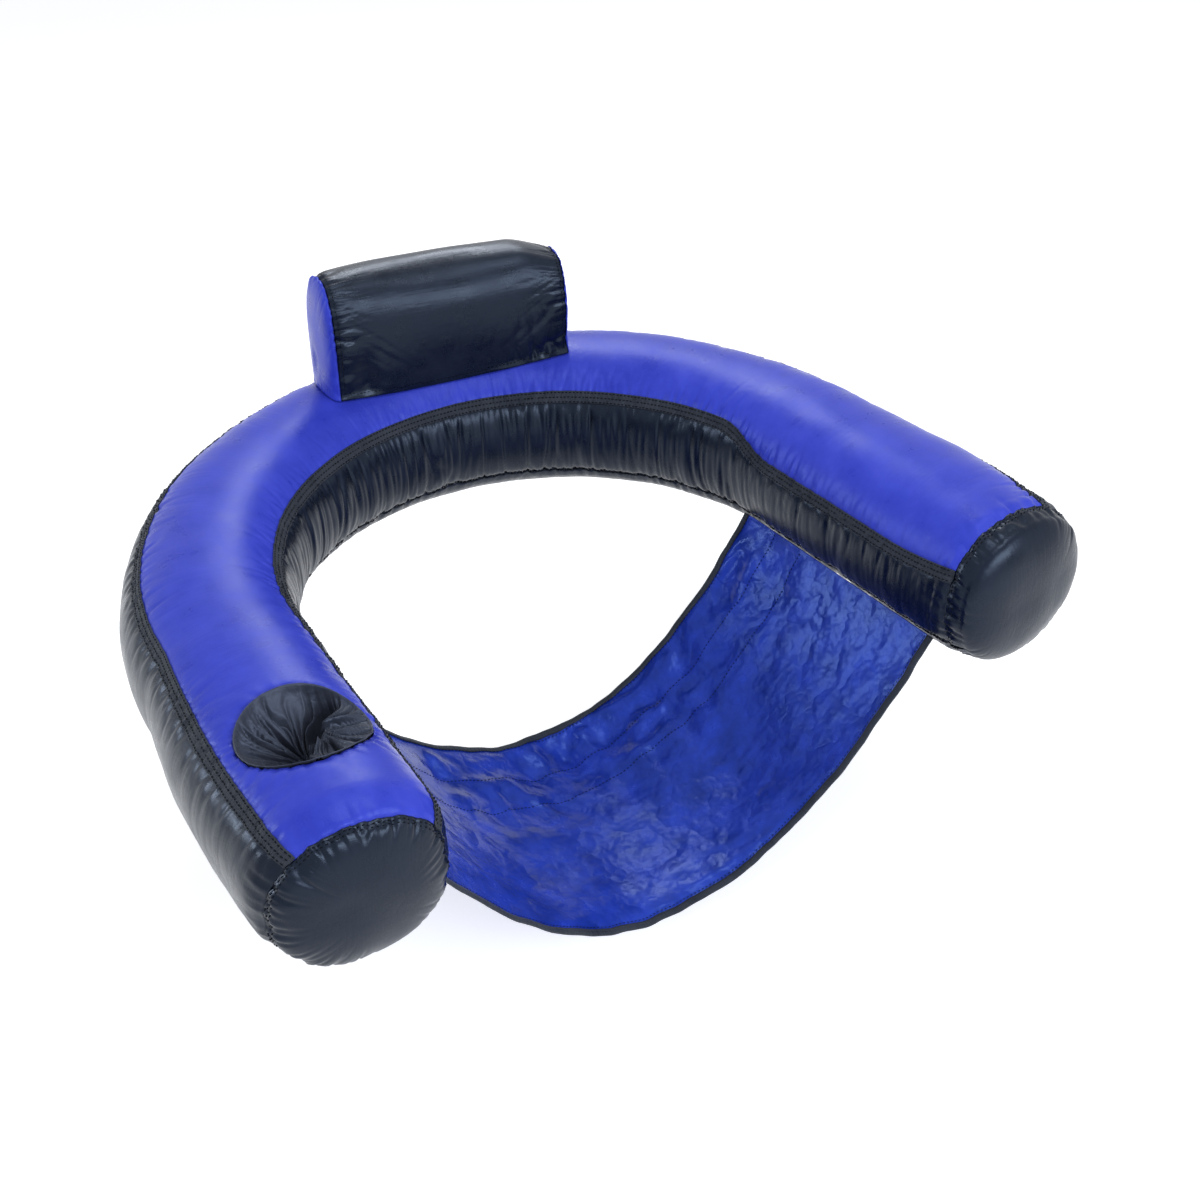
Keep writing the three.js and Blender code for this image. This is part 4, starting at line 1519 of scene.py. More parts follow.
    def caps(self, dress: Wardrobe) -> None:
        """Builds the domed caps on the arms' ends, with a stitch row round each.

        Args:
            dress: The materials.
        """
        tube = self.tube
        for side, node in ((Side.CUP, "end_cap_cup_side"), (Side.FAR, "end_cap_far_side")):
            cap = ball(*self.cap_cells)
            whole = cap.verts[:] + cap.edges[:] + cap.faces[:]
            bmesh.ops.bisect_plane(
                cap, geom=whole, plane_co=(0, 0, 0), plane_no=(0, 0, 1), clear_inner=True, dist=1e-5
            )
            unit = coordinates(cap)
            share = np.arcsin(np.clip(unit[:, 2], 0.0, 1.0)) / (math.pi / 2)
            turn = np.arctan2(unit[:, 0], unit[:, 1])
            seam = tube.cap_seam(side, turn)
            past_end = seam + (tube.dome_reach - seam) * share
            move_to(cap, tube.cap(side, turn, past_end, tube.shape.cover_outer, self.relief)[0])
            unwrap(cap, unit[:, :2] * tube.shape.half_width)
            end = 0.0 if side is Side.CUP else tube.length
            face_outwards(cap, Vector(tube.centre(np.array([end]))[0]))
            Piece(f"{node}_dome", dress.black, Slot.BLACK_NYLON, (node,), wall=tube.shape.cloth).add(cap)
            rows = bmesh.new()
            round_end = np.linspace(-math.pi, math.pi, 900)
            for gap in self.cap_stitch_rows:
                past_end = tube.cap_seam(side, round_end) + gap
                line = tube.cap(side, round_end, past_end, tube.shape.cover_outer, self.relief)
                self.cap_stitch.sew(rows, *line)
            Piece(f"{node}_stitches", dress.thread, Slot.BLACK_NYLON).add(rows)

    def facing(self, dress: Wardrobe) -> None:
        """Builds the facing round the valve's opening."""
        add_facing("main_port_facing", self.port, dress)


def add_facing(node: str, port: Port, dress: Wardrobe) -> None:
    """A flat ring sewn round a port, with its stitch row.

    Args:
        node: The facing's node.
        port: The port.
        dress: The materials.
    """
    inner, outer = port.opening - 0.0005, port.opening + port.facing
    ring = lathe([
        (inner, 0.0012), (outer, 0.0013), (outer + 0.0002, 0.0018), (outer - 0.0004, 0.0022),
        (inner + 0.0004, 0.0023), (inner - 0.0002, 0.0018),
    ], 72, closed=True)
    ring.transform(port.frame)
    Piece(f"{node}_ring", dress.tape, Slot.SEAM_TAPE, (node,)).add(ring)
    turns = np.linspace(0, 2 * math.pi, 200)
    radius = (inner + outer) / 2
    flat = np.stack([radius * np.cos(turns), radius * np.sin(turns), np.full_like(turns, 0.0023)], -1)
    frame = np.array(port.frame)
    points = flat @ frame[:3, :3].T + frame[:3, 3]
    rows = bmesh.new()
    Stitch(0.0042, 0.0030, 0.0004).sew(rows, points, np.tile(frame[:3, 2], (len(points), 1)))
    Piece(f"{node}_stitches", dress.thread, Slot.SEAM_TAPE).add(rows)


@dataclass
class CupHolder:
    """The crumpled lining of the cup holder."""

    tube: TubePath
    relief: Relief
    cup: CupShape
    steps_round: int = 300
    steps_down: int = 120
    fall: float = 0.052
    slit_turn: float = math.radians(50)
    slit_shares: Tuple[float, float] = (0.40, 0.045)
    funnel_share: float = 0.62
    pleat_depth: float = 0.0115
    small_pleat_depth: float = 0.0052
    roll_height: float = 0.0070
    rim_roll: float = 0.0012
    cloth_depth: float = 0.12

    def top_height(self, points: Array) -> Array:
        """Height of the cover's top over places in plan on the cup's arm.

        Args:
            points: The points, as rows.

        Returns:
            Heights.
        """
        shape = self.tube.shape
        share = (-shape.back_depth - points[:, 1]) / shape.arm_length
        middle = -(shape.back_half_width + shape.arm_spread * share)
        width = shape.half_width + shape.arm_bulge * np.sin(math.pi * share) * (points[:, 0] < middle)
        across = np.clip(np.abs(points[:, 0] - middle) / (width + shape.cover_outer), 0.0, 0.98)
        rise = (1.0 - across**shape.power) ** (1.0 / shape.power)
        return shape.centre_height + (shape.half_height + shape.cover_outer) * rise

    def lining(self, dress: Wardrobe) -> None:
        """Builds the lining: pleated walls that fall to a slit, over a dark well.

        Args:
            dress: The materials.
        """
        cup = self.cup
        profile = [(1.0, -index / self.steps_down) for index in range(self.steps_down + 1)]
        funnel = lathe(profile, self.steps_round, closed=False)
        unit = coordinates(funnel)
        round_axis = np.arctan2(unit[:, 1], unit[:, 0])
        depth = np.clip(-unit[:, 2], 0.0, 1.0)
        move_to(funnel, self._wall(round_axis, depth))
        unwrap(funnel, np.stack([round_axis * cup.throat_radius, depth * self.cloth_depth], -1))
        face_outwards(funnel, Vector((*cup.centre, cup.floor_height)))
        bmesh.ops.reverse_faces(funnel, faces=funnel.faces)
        below = cup.floor_height + 0.01
        foot = [edge for edge in funnel.edges if edge.is_boundary and edge.verts[0].co.z < below]
        bmesh.ops.holes_fill(funnel, edges=foot)
        Piece("cup_lining", dress.lining, Slot.BLACK_NYLON, ("cup_pocket",), wall=-0.0007).add(funnel)

    def _wall(self, around: Array, depth: Array) -> Array:
        """Points of the lining.

        Args:
            around: Direction from the cup's axis.
            depth: 0 at the mouth to 1 at the floor.

        Returns:
            The points.
        """
        cup = self.cup
        noise = self.relief.ends
        upper = np.clip(depth / self.funnel_share, 0.0, 1.0)
        lower = np.clip((depth - self.funnel_share) / (1.0 - self.funnel_share), 0.0, 1.0)
        slit = around - self.slit_turn
        waist = 1.0 / np.hypot(np.cos(slit) / self.slit_shares[0], np.sin(slit) / self.slit_shares[1])
        inwards = 1.0 - (1.0 - waist) * upper
        facing_right = np.cos(slit + math.pi / 2)
        lobe = smooth_step((facing_right + 0.05) / 0.9)
        valley = np.exp(-(((slit + math.pi) % (2 * math.pi) - math.pi) / 0.20) ** 2)
        steep = upper ** 0.85
        shallow = 0.26 * upper + 0.74 * smooth_step((upper - 0.74) / 0.26)
        gully = 1.0 - (1.0 - upper) ** 2.4
        fall = steep + (shallow - steep) * lobe
        fall = fall + (gully - fall) * valley
        swirl = around + 0.35 * upper * np.sin(around * 2 + 0.6)
        swirl = swirl + 0.25 * noise(np.cos(around) * 1.5, upper * 1.3)
        pleat = creases(noise(np.cos(swirl) * 4.6 + 9.0, np.sin(swirl) * 4.6 + upper * 0.5), 0.30)
        small = creases(noise(np.cos(swirl) * 9.5, np.sin(swirl) * 9.5 + upper * 0.9 + 4.0), 0.32)
        roll = noise(np.cos(swirl) * 2.6 + 2.0, np.sin(swirl) * 2.6)
        swell = np.sin(math.pi * np.clip(upper, 0, 1)) ** 0.7
        radius = (cup.mouth_radius - 0.0005) * inwards
        bend = 0.10 * swell * roll
        wide, long = cup.mouth_shares
        x = cup.centre[0] + radius * wide * np.cos(around + bend) + 0.004 * upper
        y = cup.centre[1] + cup.mouth_shift + radius * long * np.sin(around + bend) + 0.003 * upper
        plan = np.stack([x, y], -1)
        rim = self.top_height(plan)
        folds = self.pleat_depth * pleat + self.small_pleat_depth * small - self.roll_height * roll
        drop = self.fall * fall + swell * folds - self.rim_roll * np.exp(-(((upper - 0.02) / 0.03) ** 2))
        widening = 1.0 + (cup.floor_radius / (cup.mouth_radius * waist) - 1.0) * smooth_step(lower * 2.2)
        x = np.where(lower > 0, cup.centre[0] + (x - cup.centre[0]) * widening, x)
        y = np.where(lower > 0, cup.centre[1] + (y - cup.centre[1]) * widening, y)
        height = rim - drop
        height = height + (cup.floor_height - height) * lower
        return np.stack([x, y, height], -1)


@dataclass
class AirBladder:
    """The tube's air bladder: film under the cover, with the cup well and the valve's pocket."""

    tube: TubePath
    relief: Relief
    cup: CupShape
    port: Port
    gap: float = 0.0050
    cells_round: int = 120
    dome_cells: int = 10
    body_cells: int = 300
    well_clearance: float = 0.0015

    def film(self, dress: Wardrobe) -> None:
        """Builds the closed film.

        Args:
            dress: The materials.
        """
        tube = self.tube
        over = 2 * self.dome_cells + self.body_cells
        film = ball(self.cells_round, over)
        unit = coordinates(film)
        turn = np.arctan2(unit[:, 0], unit[:, 1])
        ring = rings_of(unit, over)
        along = np.clip((ring - self.dome_cells) / self.body_cells, 0.0, 1.0) * tube.length
        along -= np.clip(self.dome_cells - ring, 0.0, None) / self.dome_cells * tube.dome_reach
        past = np.clip(ring - self.dome_cells - self.body_cells, 0.0, None)
        along += past / self.dome_cells * tube.dome_reach
        points, _ = tube.surface(along, turn, -self.gap, self.relief)
        move_to(film, self.port.flatten(points, self.port.film_height))
        bmesh.ops.remove_doubles(film, verts=film.verts, dist=1e-6)
        face_outwards(film)
        cup = self.cup
        radius = cup.mouth_radius + self.well_clearance
        mouth = open_round(film, cup.frame(cup.rim_height), radius, 0.05)
        sink_well(film, mouth, cup.frame(0.0), [
            (radius, cup.rim_height - cup.rim_depth - 0.01),
            (cup.throat_radius + 0.006, cup.throat_height),
            (cup.floor_radius + 0.003, cup.floor_height - 0.003),
        ])
        self.port.sink_pocket(film, 0.02)
        made = Piece("air_bladder", dress.film, Slot.FILM, ("main_bladder",)).add(film)


def relax_cloth(
    made: Object, pins: Array, growth: Array, pressure: float, weight: float, frames: int, reach: float
) -> None:
    """Lets a mesh settle as cloth and keeps the result.

    Args:
        made: The object, whose mesh takes the settled shape.
        pins: How firmly each point is held, 0 to 1.
        growth: The cut cloth's points, larger than the shape it is held in.
        pressure: Air pressure inside a closed mesh.
        weight: Share of gravity.
        frames: Steps to run.
        reach: The furthest that a point may move.
    """
    start = coordinates_of(made)
    held = made.vertex_groups.new(name="held")
    for level in np.unique(np.round(pins[pins > 0.01], 2)):
        at = np.nonzero(np.abs(pins - level) < 0.005)[0]
        held.add(at.tolist(), float(level), "REPLACE")
    made.shape_key_add(name="placed")
    cut = made.shape_key_add(name="cut")
    cut.data.foreach_set("co", growth.ravel())
    cloth = made.modifiers.new("cloth", "CLOTH")
    settings = cloth.settings
    settings.quality = 6
    settings.mass = 0.15
    settings.tension_stiffness = settings.compression_stiffness = 18
    settings.shear_stiffness = 8
    settings.bending_stiffness = 0.06
    settings.tension_damping = settings.compression_damping = settings.shear_damping = 8
    settings.air_damping = 2
    settings.vertex_group_mass = "held"
    settings.pin_stiffness = 1.0
    settings.rest_shape_key = cut
    settings.use_pressure = pressure > 0
    settings.uniform_pressure_force = pressure
    settings.effector_weights.gravity = weight
    cloth.collision_settings.use_collision = False
    cloth.point_cache.frame_start = 1
    cloth.point_cache.frame_end = frames
    scene = bpy.context.scene
    for step in range(1, frames + 1):
        scene.frame_set(step)
    solved = made.evaluated_get(bpy.context.evaluated_depsgraph_get()).to_mesh()
    settled = np.empty(len(solved.vertices) * 3)
    solved.vertices.foreach_get("co", settled)
    moved = settled.reshape(-1, 3) - start
    size = np.linalg.norm(moved, axis=1, keepdims=True)
    moved *= np.minimum(1.0, reach / np.maximum(size, 1e-9))
    made.modifiers.remove(cloth)
    made.shape_key_clear()
    made.vertex_groups.clear()
    made.data.vertices.foreach_set("co", (start + moved).ravel())
    made.data.update()
    scene.frame_set(1)
    LOG.info("%s settled: mean move %.1f mm", made.name, float(size.mean()) * 1000)


def coordinates_of(made: Object) -> Array:
    """An object's mesh points as rows.

    Args:
        made: The object.

    Returns:
        The points.
    """
    found = np.empty(len(made.data.vertices) * 3)
    made.data.vertices.foreach_get("co", found)
    return found.reshape(-1, 3)


@dataclass
class HeadCushion:
    """The head cushion: an air-filled block in a black wrap with blue ends, on the tube's back."""

    tube: TubePath
    relief: Relief
    port: Port
    turn: float = math.radians(10)
    half_width: float = 0.132
    bend: float = 0.015
    depth: float = 0.091
    shift: float = 0.0045
    top: float = 0.298
    foot: float = 0.108
    power: float = 2.9
    draw_in: float = 0.004
    end_bulges: Tuple[float, float] = (0.012, 0.002)
    end_turn: float = 0.2
    lean: float = 0.004
    top_slope: float = 0.006
    far_drop: float = 0.013
    far_stretch: float = 0.004
    cup_foot_spread: float = 0.005
    end_power: float = 2.5
    crown: float = 0.004
    wrap_girth: float = 0.53
    stitch: Stitch = Stitch(0.0044, 0.0029, 0.00036, lift=0.0004)
    pucker: Fold = Fold(1.1 * MM, pitch=0.0085, width=0.42, reach=0.012)
    fold: Fold = Fold(1.7 * MM, pitch=0.022, width=0.24, reach=0.022)
    seam_dip: Dip = Dip(1.4 * MM, 0.004)
    dent: float = 1.4 * MM
    corner_depth: float = 4.8 * MM
    trough_depth: float = 4.5 * MM
    swell: float = 1.022
    film_cells: Tuple[int, int] = (72, 46)
    film_gap: float = 0.0040
    cells_round: int = 150
    dome_cells: int = 12
    body_cells: int = 66

    def _over(self) -> int:
        """Cells from one end's middle to the other's."""
        return 2 * self.dome_cells + self.body_cells

    def _rings(self, unit: Array) -> Tuple[Array, Array, Array]:
        """Where a ball's points go on the cushion.

        Args:
            unit: The ball's points.

        Returns:
            Turn round the section, place across, and the dome's polar angle with its end's sign.
        """
        over = self._over()
        ring = rings_of(unit, over)
        share = np.clip((ring - self.dome_cells) / self.body_cells, 0.0, 1.0)
        across = (share * 2.0 - 1.0) * self.half_width
        past = np.maximum(self.dome_cells - ring, ring - self.dome_cells - self.body_cells)
        polar = np.clip(past / self.dome_cells, 0.0, 1.0) * math.pi / 2
        angles = np.linspace(0.0, 2 * math.pi, 4000)
        wide, high = power_curve(angles, self.power)
        run = totals(np.hypot(np.diff(wide) * self.depth / 2, np.diff(high) * (self.top - self.foot) / 2))
        round_share = (np.arctan2(unit[:, 0], unit[:, 1]) % (2 * math.pi)) / (2 * math.pi)
        turn = np.interp(round_share * run[-1], run, angles)
        return turn, across, polar * np.sign(ring - over / 2)

    def _form(self, turn: Array, across: Array, polar: Array, offset: float) -> Tuple[Array, Array]:
        """The cushion's smooth form and its outward directions.

        Args:
            turn: Turns round the section.
            across: Places across the cushion.
            polar: Polar angles on the ends, signed by end.
            offset: Distance outside the bladder.

        Returns:
            The points and the directions.
        """
        deep, high = power_curve(turn, self.power)
        advance, scale = power_curve(np.abs(polar), self.end_power)
        side = np.sign(polar)
        share = across / self.half_width
        half_depth = self.depth / 2 - self.draw_in * share**4 + offset
        half_height = (self.top - self.foot) / 2 + offset
        heading = self.end_turn * np.arctan(-2 * self.bend * share / self.half_width)
        depth = deep * half_depth * scale - self.shift
        forward = side * advance * (np.where(side < 0, *self.end_bulges) + offset)
        forward = forward + self.far_stretch * np.clip(share, 0.0, 1.0) ** 3
        crown = self.crown * (1.0 - share**2) * np.abs(deep) ** 3
        depth = depth + np.sign(deep) * crown * scale - self.lean * high * scale
        draw_back = 0.003 + self.cup_foot_spread * (0.5 - 0.5 * high)
        forward = forward - np.clip(-share, 0.0, 1.0) ** 4 * draw_back
        x = across + forward * np.cos(heading) - depth * np.sin(heading)
        y = forward * np.sin(heading) + depth * np.cos(heading) - self.bend * share**2
        z = (self.top + self.foot) / 2 + high * half_height * scale
        lift = -self.top_slope * smooth_step((share + 1.0) / 1.4)
        lift = lift - self.far_drop * smooth_step((share - 0.62) / 0.40)
        z = z + np.clip(high, 0.0, 1.0) * scale * lift
        level = self._turned(np.stack([x, y, z], -1))
        flat_deep = np.sign(deep) * np.abs(deep) ** (self.power - 1) / half_depth
        flat_high = np.sign(high) * np.abs(high) ** (self.power - 1) / half_height
        size = np.hypot(flat_deep, flat_high)
        flat_deep, flat_high = flat_deep / size * np.cos(polar), flat_high / size * np.cos(polar)
        end = np.sin(polar)
        normal = np.stack([
            end * np.cos(heading) - flat_deep * np.sin(heading),
            end * np.sin(heading) + flat_deep * np.cos(heading),
            flat_high,
        ], -1)
        return level + self._place(), self._turned(normal)

    def _turned(self, points: Array) -> Array:
        """Turns points about the Z axis with the cushion.

        Args:
            points: The points, as rows.

        Returns:
            The turned points.
        """
        cosine, sine = math.cos(-self.turn), math.sin(-self.turn)
        x = points[:, 0] * cosine - points[:, 1] * sine
        y = points[:, 0] * sine + points[:, 1] * cosine
        return np.stack([x, y, points[:, 2]], -1)

    def _place(self) -> Array:
        """The cushion's place on the back's curve.

        Returns:
            Its shift from the origin.
        """
        shape = self.tube.shape
        x = shape.back_half_width * math.sin(self.turn)
        y = shape.back_depth * (math.cos(self.turn) - 1.0)
        return np.array([x, y, 0.0])

    def _seat_height(self, points: Array) -> Array:
        """Height of the tube's top under places in plan.

        Args:
            points: The points, as rows.

        Returns:
            Heights.
        """
        tube = self.tube
        samples = np.linspace(0.3 * tube.length, 0.7 * tube.length, 500)
        centres = tube.centre(samples)
        far_x = points[:, None, 0] - centres[None, :, 0]
        far_y = points[:, None, 1] - centres[None, :, 1]
        nearest = (far_x**2 + far_y**2).argmin(axis=1)
        _, outward = tube.directions(samples[nearest])
        away = points[:, :2] - centres[nearest][:, :2]
        across = np.clip(np.abs((away * outward[:, :2]).sum(1)) / (tube.shape.half_width + 0.0011), 0.0, 0.97)
        rise = (1.0 - across**tube.shape.power) ** (1.0 / tube.shape.power)
        return tube.shape.centre_height + (tube.shape.half_height + 0.0011) * rise

    def _faces(self, turn: Array, across: Array, polar: Array) -> Tuple[Array, Array]:
        """Flat places on the cover: round and across the wrap, or up and deep on an end.

        Args:
            turn: Turns round the section.
            across: Places across the cushion.
            polar: Polar angles on the ends, signed by end.

        Returns:
            Both places, in metres.
        """
        deep, high = power_curve(turn, self.power)
        _, scale = power_curve(np.abs(polar), self.end_power)
        on_end = np.abs(polar) > 1e-6
        girth = ((turn + math.pi) % (2 * math.pi) - math.pi) / (2 * math.pi) * self.wrap_girth
        first = np.where(on_end, high * scale * (self.top - self.foot) / 2, girth)
        return first, np.where(on_end, deep * scale * self.depth / 2, across)

    def _folds(self, turn: Array, across: Array, polar: Array) -> Array:
        """Heights of puckers beside the end seams, folds at the corners and soft dents.

        Args:
            turn: Turns round the section.
            across: Places across the cushion.
            polar: Polar angles on the ends, signed by end.

        Returns:
            Heights, below zero in folds.
        """
        noise = self.relief
        girth, _ = self._faces(turn, across, polar * 0)
        first, second = self._faces(turn, across, polar)
        deep, high = power_curve(turn, self.power)
        dome = np.abs(polar) / (math.pi / 2) * 0.085
        gap = np.where(np.abs(polar) > 1e-6, dome, self.half_width - np.abs(across))
        side = np.sign(across)
        front = smooth_step(-deep * 2.0 - 0.6)
        pucker = noise.fine(girth / self.pucker.pitch + side * 9.0, gap / 0.045)
        fold = noise.coarse(girth / self.fold.pitch + side * 5.0, gap / 0.090 + 3.0)
        uneven = 1.0 + 0.7 * noise.coarse(girth / 0.060 + side * 3.0, gap * 0 + 1.0)
        fan = 1.0 + 1.3 * front * (side < 0) * (polar == 0) * np.exp(-(((high - 0.5) / 0.35) ** 2))
        height = -self.seam_dip.fall(gap)
        height -= fan * self.pucker.fall(pucker, gap, uneven * fan)
        height -= self.fold.fall(fold, gap, uneven)
        height += self.dent * smooth_step(gap / 0.012) * noise.soft(first / 0.085 + 7.0, second / 0.090)
        corner = front * np.exp(-(((across - 0.100) / 0.034) ** 2) - ((high + 0.6) / 0.55) ** 2)
        over_fold, along_fold = across + 0.022 * high, 0.3 * across - 0.09 * high
        skew = creases(noise.folds(over_fold / 0.014, along_fold / 0.060), 0.34)
        height -= self.corner_depth * corner * skew
        trough = front * np.exp(-(((across + 0.104) / 0.012) ** 2)) * smooth_step((0.3 - high) / 0.5)
        return height - self.trough_depth * trough

    def _settle(self, mesh: Mesh, across: Array, polar: Array) -> None:
        """Swells the cushion as an air-filled bag held at its foot and its end seams.

        Args:
            mesh: The mesh.
            across: Places across the cushion.
            polar: Polar angles on the ends, signed by end.
        """
        points = coordinates(mesh)
        seat = self._seat_height(points)
        low = 1.0 - smooth_step((points[:, 2] - seat - 0.006) / 0.020)
        at_seam = (np.abs(polar) < 1e-6) & (np.abs(np.abs(across) - self.half_width) < 1e-5)
        pins = np.clip(np.maximum(low, at_seam * 1.0), 0.0, 1.0)
        middle = points.mean(axis=0)
        growth = middle + (points - middle) * self.swell
        bag = loose_object(mesh, "cushion bag")
        relax_cloth(bag, pins, growth, pressure=4.0, weight=0.0, frames=20, reach=0.007)
        move_to(mesh, coordinates_of(bag))
        bpy.data.objects.remove(bag)

    def build(self, dress: Wardrobe) -> None:
        """Builds the cushion's cover and bladder.

        Args:
            dress: The materials.
        """
        cover = self.tube.shape.cover_outer
        over = self._over()
        cushion = ball(self.cells_round, over)
        unit = coordinates(cushion)
        turn, across, polar = self._rings(unit)
        points, _ = self._form(turn, across, polar, cover)
        points[:, 2] = np.maximum(points[:, 2], self._seat_height(points) + 0.0014)
        kind = cushion.faces.layers.int.new("panel")
        place = cushion.verts.layers.float_vector.new("place")
        for vertex, values in zip(cushion.verts, unit):
            vertex[place] = values
        for face in cushion.faces:
            height = np.mean([vertex.co.z for vertex in face.verts])
            ring = (1.0 - math.acos(float(np.clip(height, -1.0, 1.0))) / math.pi) * over
            face[kind] = int(ring > over - self.dome_cells) - int(ring < self.dome_cells)
        move_to(cushion, points)
        bmesh.ops.recalc_face_normals(cushion, faces=cushion.faces)
        self._settle(cushion, across, polar)
        bmesh.ops.subdivide_edges(cushion, edges=cushion.edges[:], cuts=1, use_grid_fill=True, smooth=0.6)
        self._crease(cushion)
        for name, node, wanted in (
            ("cushion_wrap", "headrest_wrap", 0),
            ("cushion_end_cup_side", "headrest_gusset_cup_side", -1),
            ("cushion_end_far_side", "headrest_gusset_far_side", 1),
        ):
            self._panel(cushion, name, node, wanted, dress)
        self._bladder(dress)
        self._stitches(cushion, dress)
        add_facing("headrest_port_facing", self.port, dress)
        cushion.free()

    def _crease(self, cushion: Mesh) -> None:
        """Gives the whole cover its folds, its rest on the tube and the valve's flat.

        Args:
            cushion: The cushion's whole cover.
        """
        place = cushion.verts.layers.float_vector["place"]
        unit = np.array([vertex[place][:] for vertex in cushion.verts])
        cushion.normal_update()
        points = coordinates(cushion)
        normals = np.array([vertex.normal[:] for vertex in cushion.verts])
        seat = self._seat_height(points) + 0.0016
        free = smooth_step((points[:, 2] - seat) / 0.010)
        points = points + normals * (self._folds(*self._rings(unit)) * free)[:, None]
        points[:, 2] = np.maximum(points[:, 2], seat)
        move_to(cushion, self.port.flatten(points, self.port.cover_height))
        bmesh.ops.remove_doubles(cushion, verts=cushion.verts, dist=0.0002)

    def _panel(self, cushion: Mesh, name: str, node: str, wanted: int, dress: Wardrobe) -> None:
        """One panel of the cover, cut from the finished cushion.

        Args:
            cushion: The cushion with its folds.
            name: The piece's name.
            node: The node that it replaces.
            wanted: 0 for the wrap, -1 or 1 for an end.
            dress: The materials.
        """
        panel = cushion.copy()
        kind = panel.faces.layers.int["panel"]
        bmesh.ops.delete(panel, geom=[face for face in panel.faces if face[kind] != wanted], context="FACES")
        place = panel.verts.layers.float_vector["place"]
        turn, across, polar = self._rings(np.array([vertex[place][:] for vertex in panel.verts]))
        least = 0.0005 if wanted else 0.0
        flat = np.stack(self._faces(turn, across, np.maximum(np.abs(polar), least)), -1)
        layer = panel.loops.layers.uv.new(CLOTH_MAP)
        panel.verts.index_update()
        for face in panel.faces:
            spots = [flat[loop.vert.index] for loop in face.loops]
            firsts = [spot[0] for spot in spots]
            wraps = max(firsts) - min(firsts) > self.wrap_girth / 2
            for loop, (first, second) in zip(face.loops, spots):
                loop[layer].uv = (first + self.wrap_girth if wraps and first < 0 else first, second)
        if wanted == 0:
            open_round(panel, self.port.frame, self.port.opening, 0.015)
        material, slot = (dress.black, Slot.BLACK_NYLON) if wanted == 0 else (dress.blue, Slot.BLUE_NYLON)
        Piece(name, material, slot, (node,), wall=self.tube.shape.cloth).add(panel)

    def _bladder(self, dress: Wardrobe) -> None:
        """The closed film inside the cover.

        Args:
            dress: The materials.
        """
        film = ball(*self.film_cells)
        turn, across, polar = self._rings(coordinates(film))
        points, _ = self._form(turn, across, polar, -self.film_gap)
        seat = self._seat_height(points) + 0.004
        points[:, 2] = np.maximum(points[:, 2], seat)
        move_to(film, self.port.flatten(points, self.port.film_height))
        bmesh.ops.remove_doubles(film, verts=film.verts, dist=0.0002)
        bmesh.ops.recalc_face_normals(film, faces=film.faces)
        self.port.sink_pocket(film, 0.015)
        made = Piece("cushion_bladder", dress.film, Slot.FILM, ("headrest_bladder",)).add(film)

    def _foot_turns(self, across: Array) -> Array:
        """Turns at which the cover's front lies just above the tube.

        Args:
            across: Places across the cushion.

        Returns:
            Turns in radians.
        """
        turns = np.linspace(1.05 * math.pi, 1.55 * math.pi, 70)
        places = across[::8]
        grid_across, grid_turn = np.meshgrid(places, turns, indexing="ij")
        points, _ = self._form(grid_turn.ravel(), grid_across.ravel(), np.zeros(grid_turn.size), 0.001)
        gap = np.abs(points[:, 2] - self._seat_height(points) - 0.009).reshape(grid_turn.shape)
        return np.interp(across, places, turns[gap.argmin(axis=1)])

    def _stitches(self, cushion: Mesh, dress: Wardrobe) -> None:
        """Stitch rows beside the end seams and along the cushion's foot, laid on the finished cover.

        Args:
            cushion: The cushion's whole cover.
            dress: The materials.
        """
        rows = bmesh.new()
        cover = BVHTree.FromBMesh(cushion)
        turn = np.linspace(-2.0, 2.0, 700)
        foot = np.linspace(-0.124, 0.124, 401)
        lines = [(turn, np.full_like(turn, side * (self.half_width - 0.0045))) for side in (-1, 1)]
        lines.append((self._foot_turns(foot), foot))
        for angles, across in lines:
            points, _ = self._form(angles, across, np.zeros_like(across), self.tube.shape.cover_outer)
            points = points[points[:, 2] > self._seat_height(points) + 0.008]
            found = [cover.find_nearest(Vector(point)) for point in points]
            normals = np.array([hit[1][:] for hit in found])
            self.stitch.sew(rows, np.array([hit[0][:] for hit in found]), normals)
        Piece("cushion_stitches", dress.thread, Slot.BLACK_NYLON).add(rows)


@dataclass(frozen=True)
class CreaseRange:
    """Limits of a random crease's distance from the rear edge, reach and slope."""

    depth: Tuple[float, float]
    reach: Tuple[float, float]
    slope: Tuple[float, float]


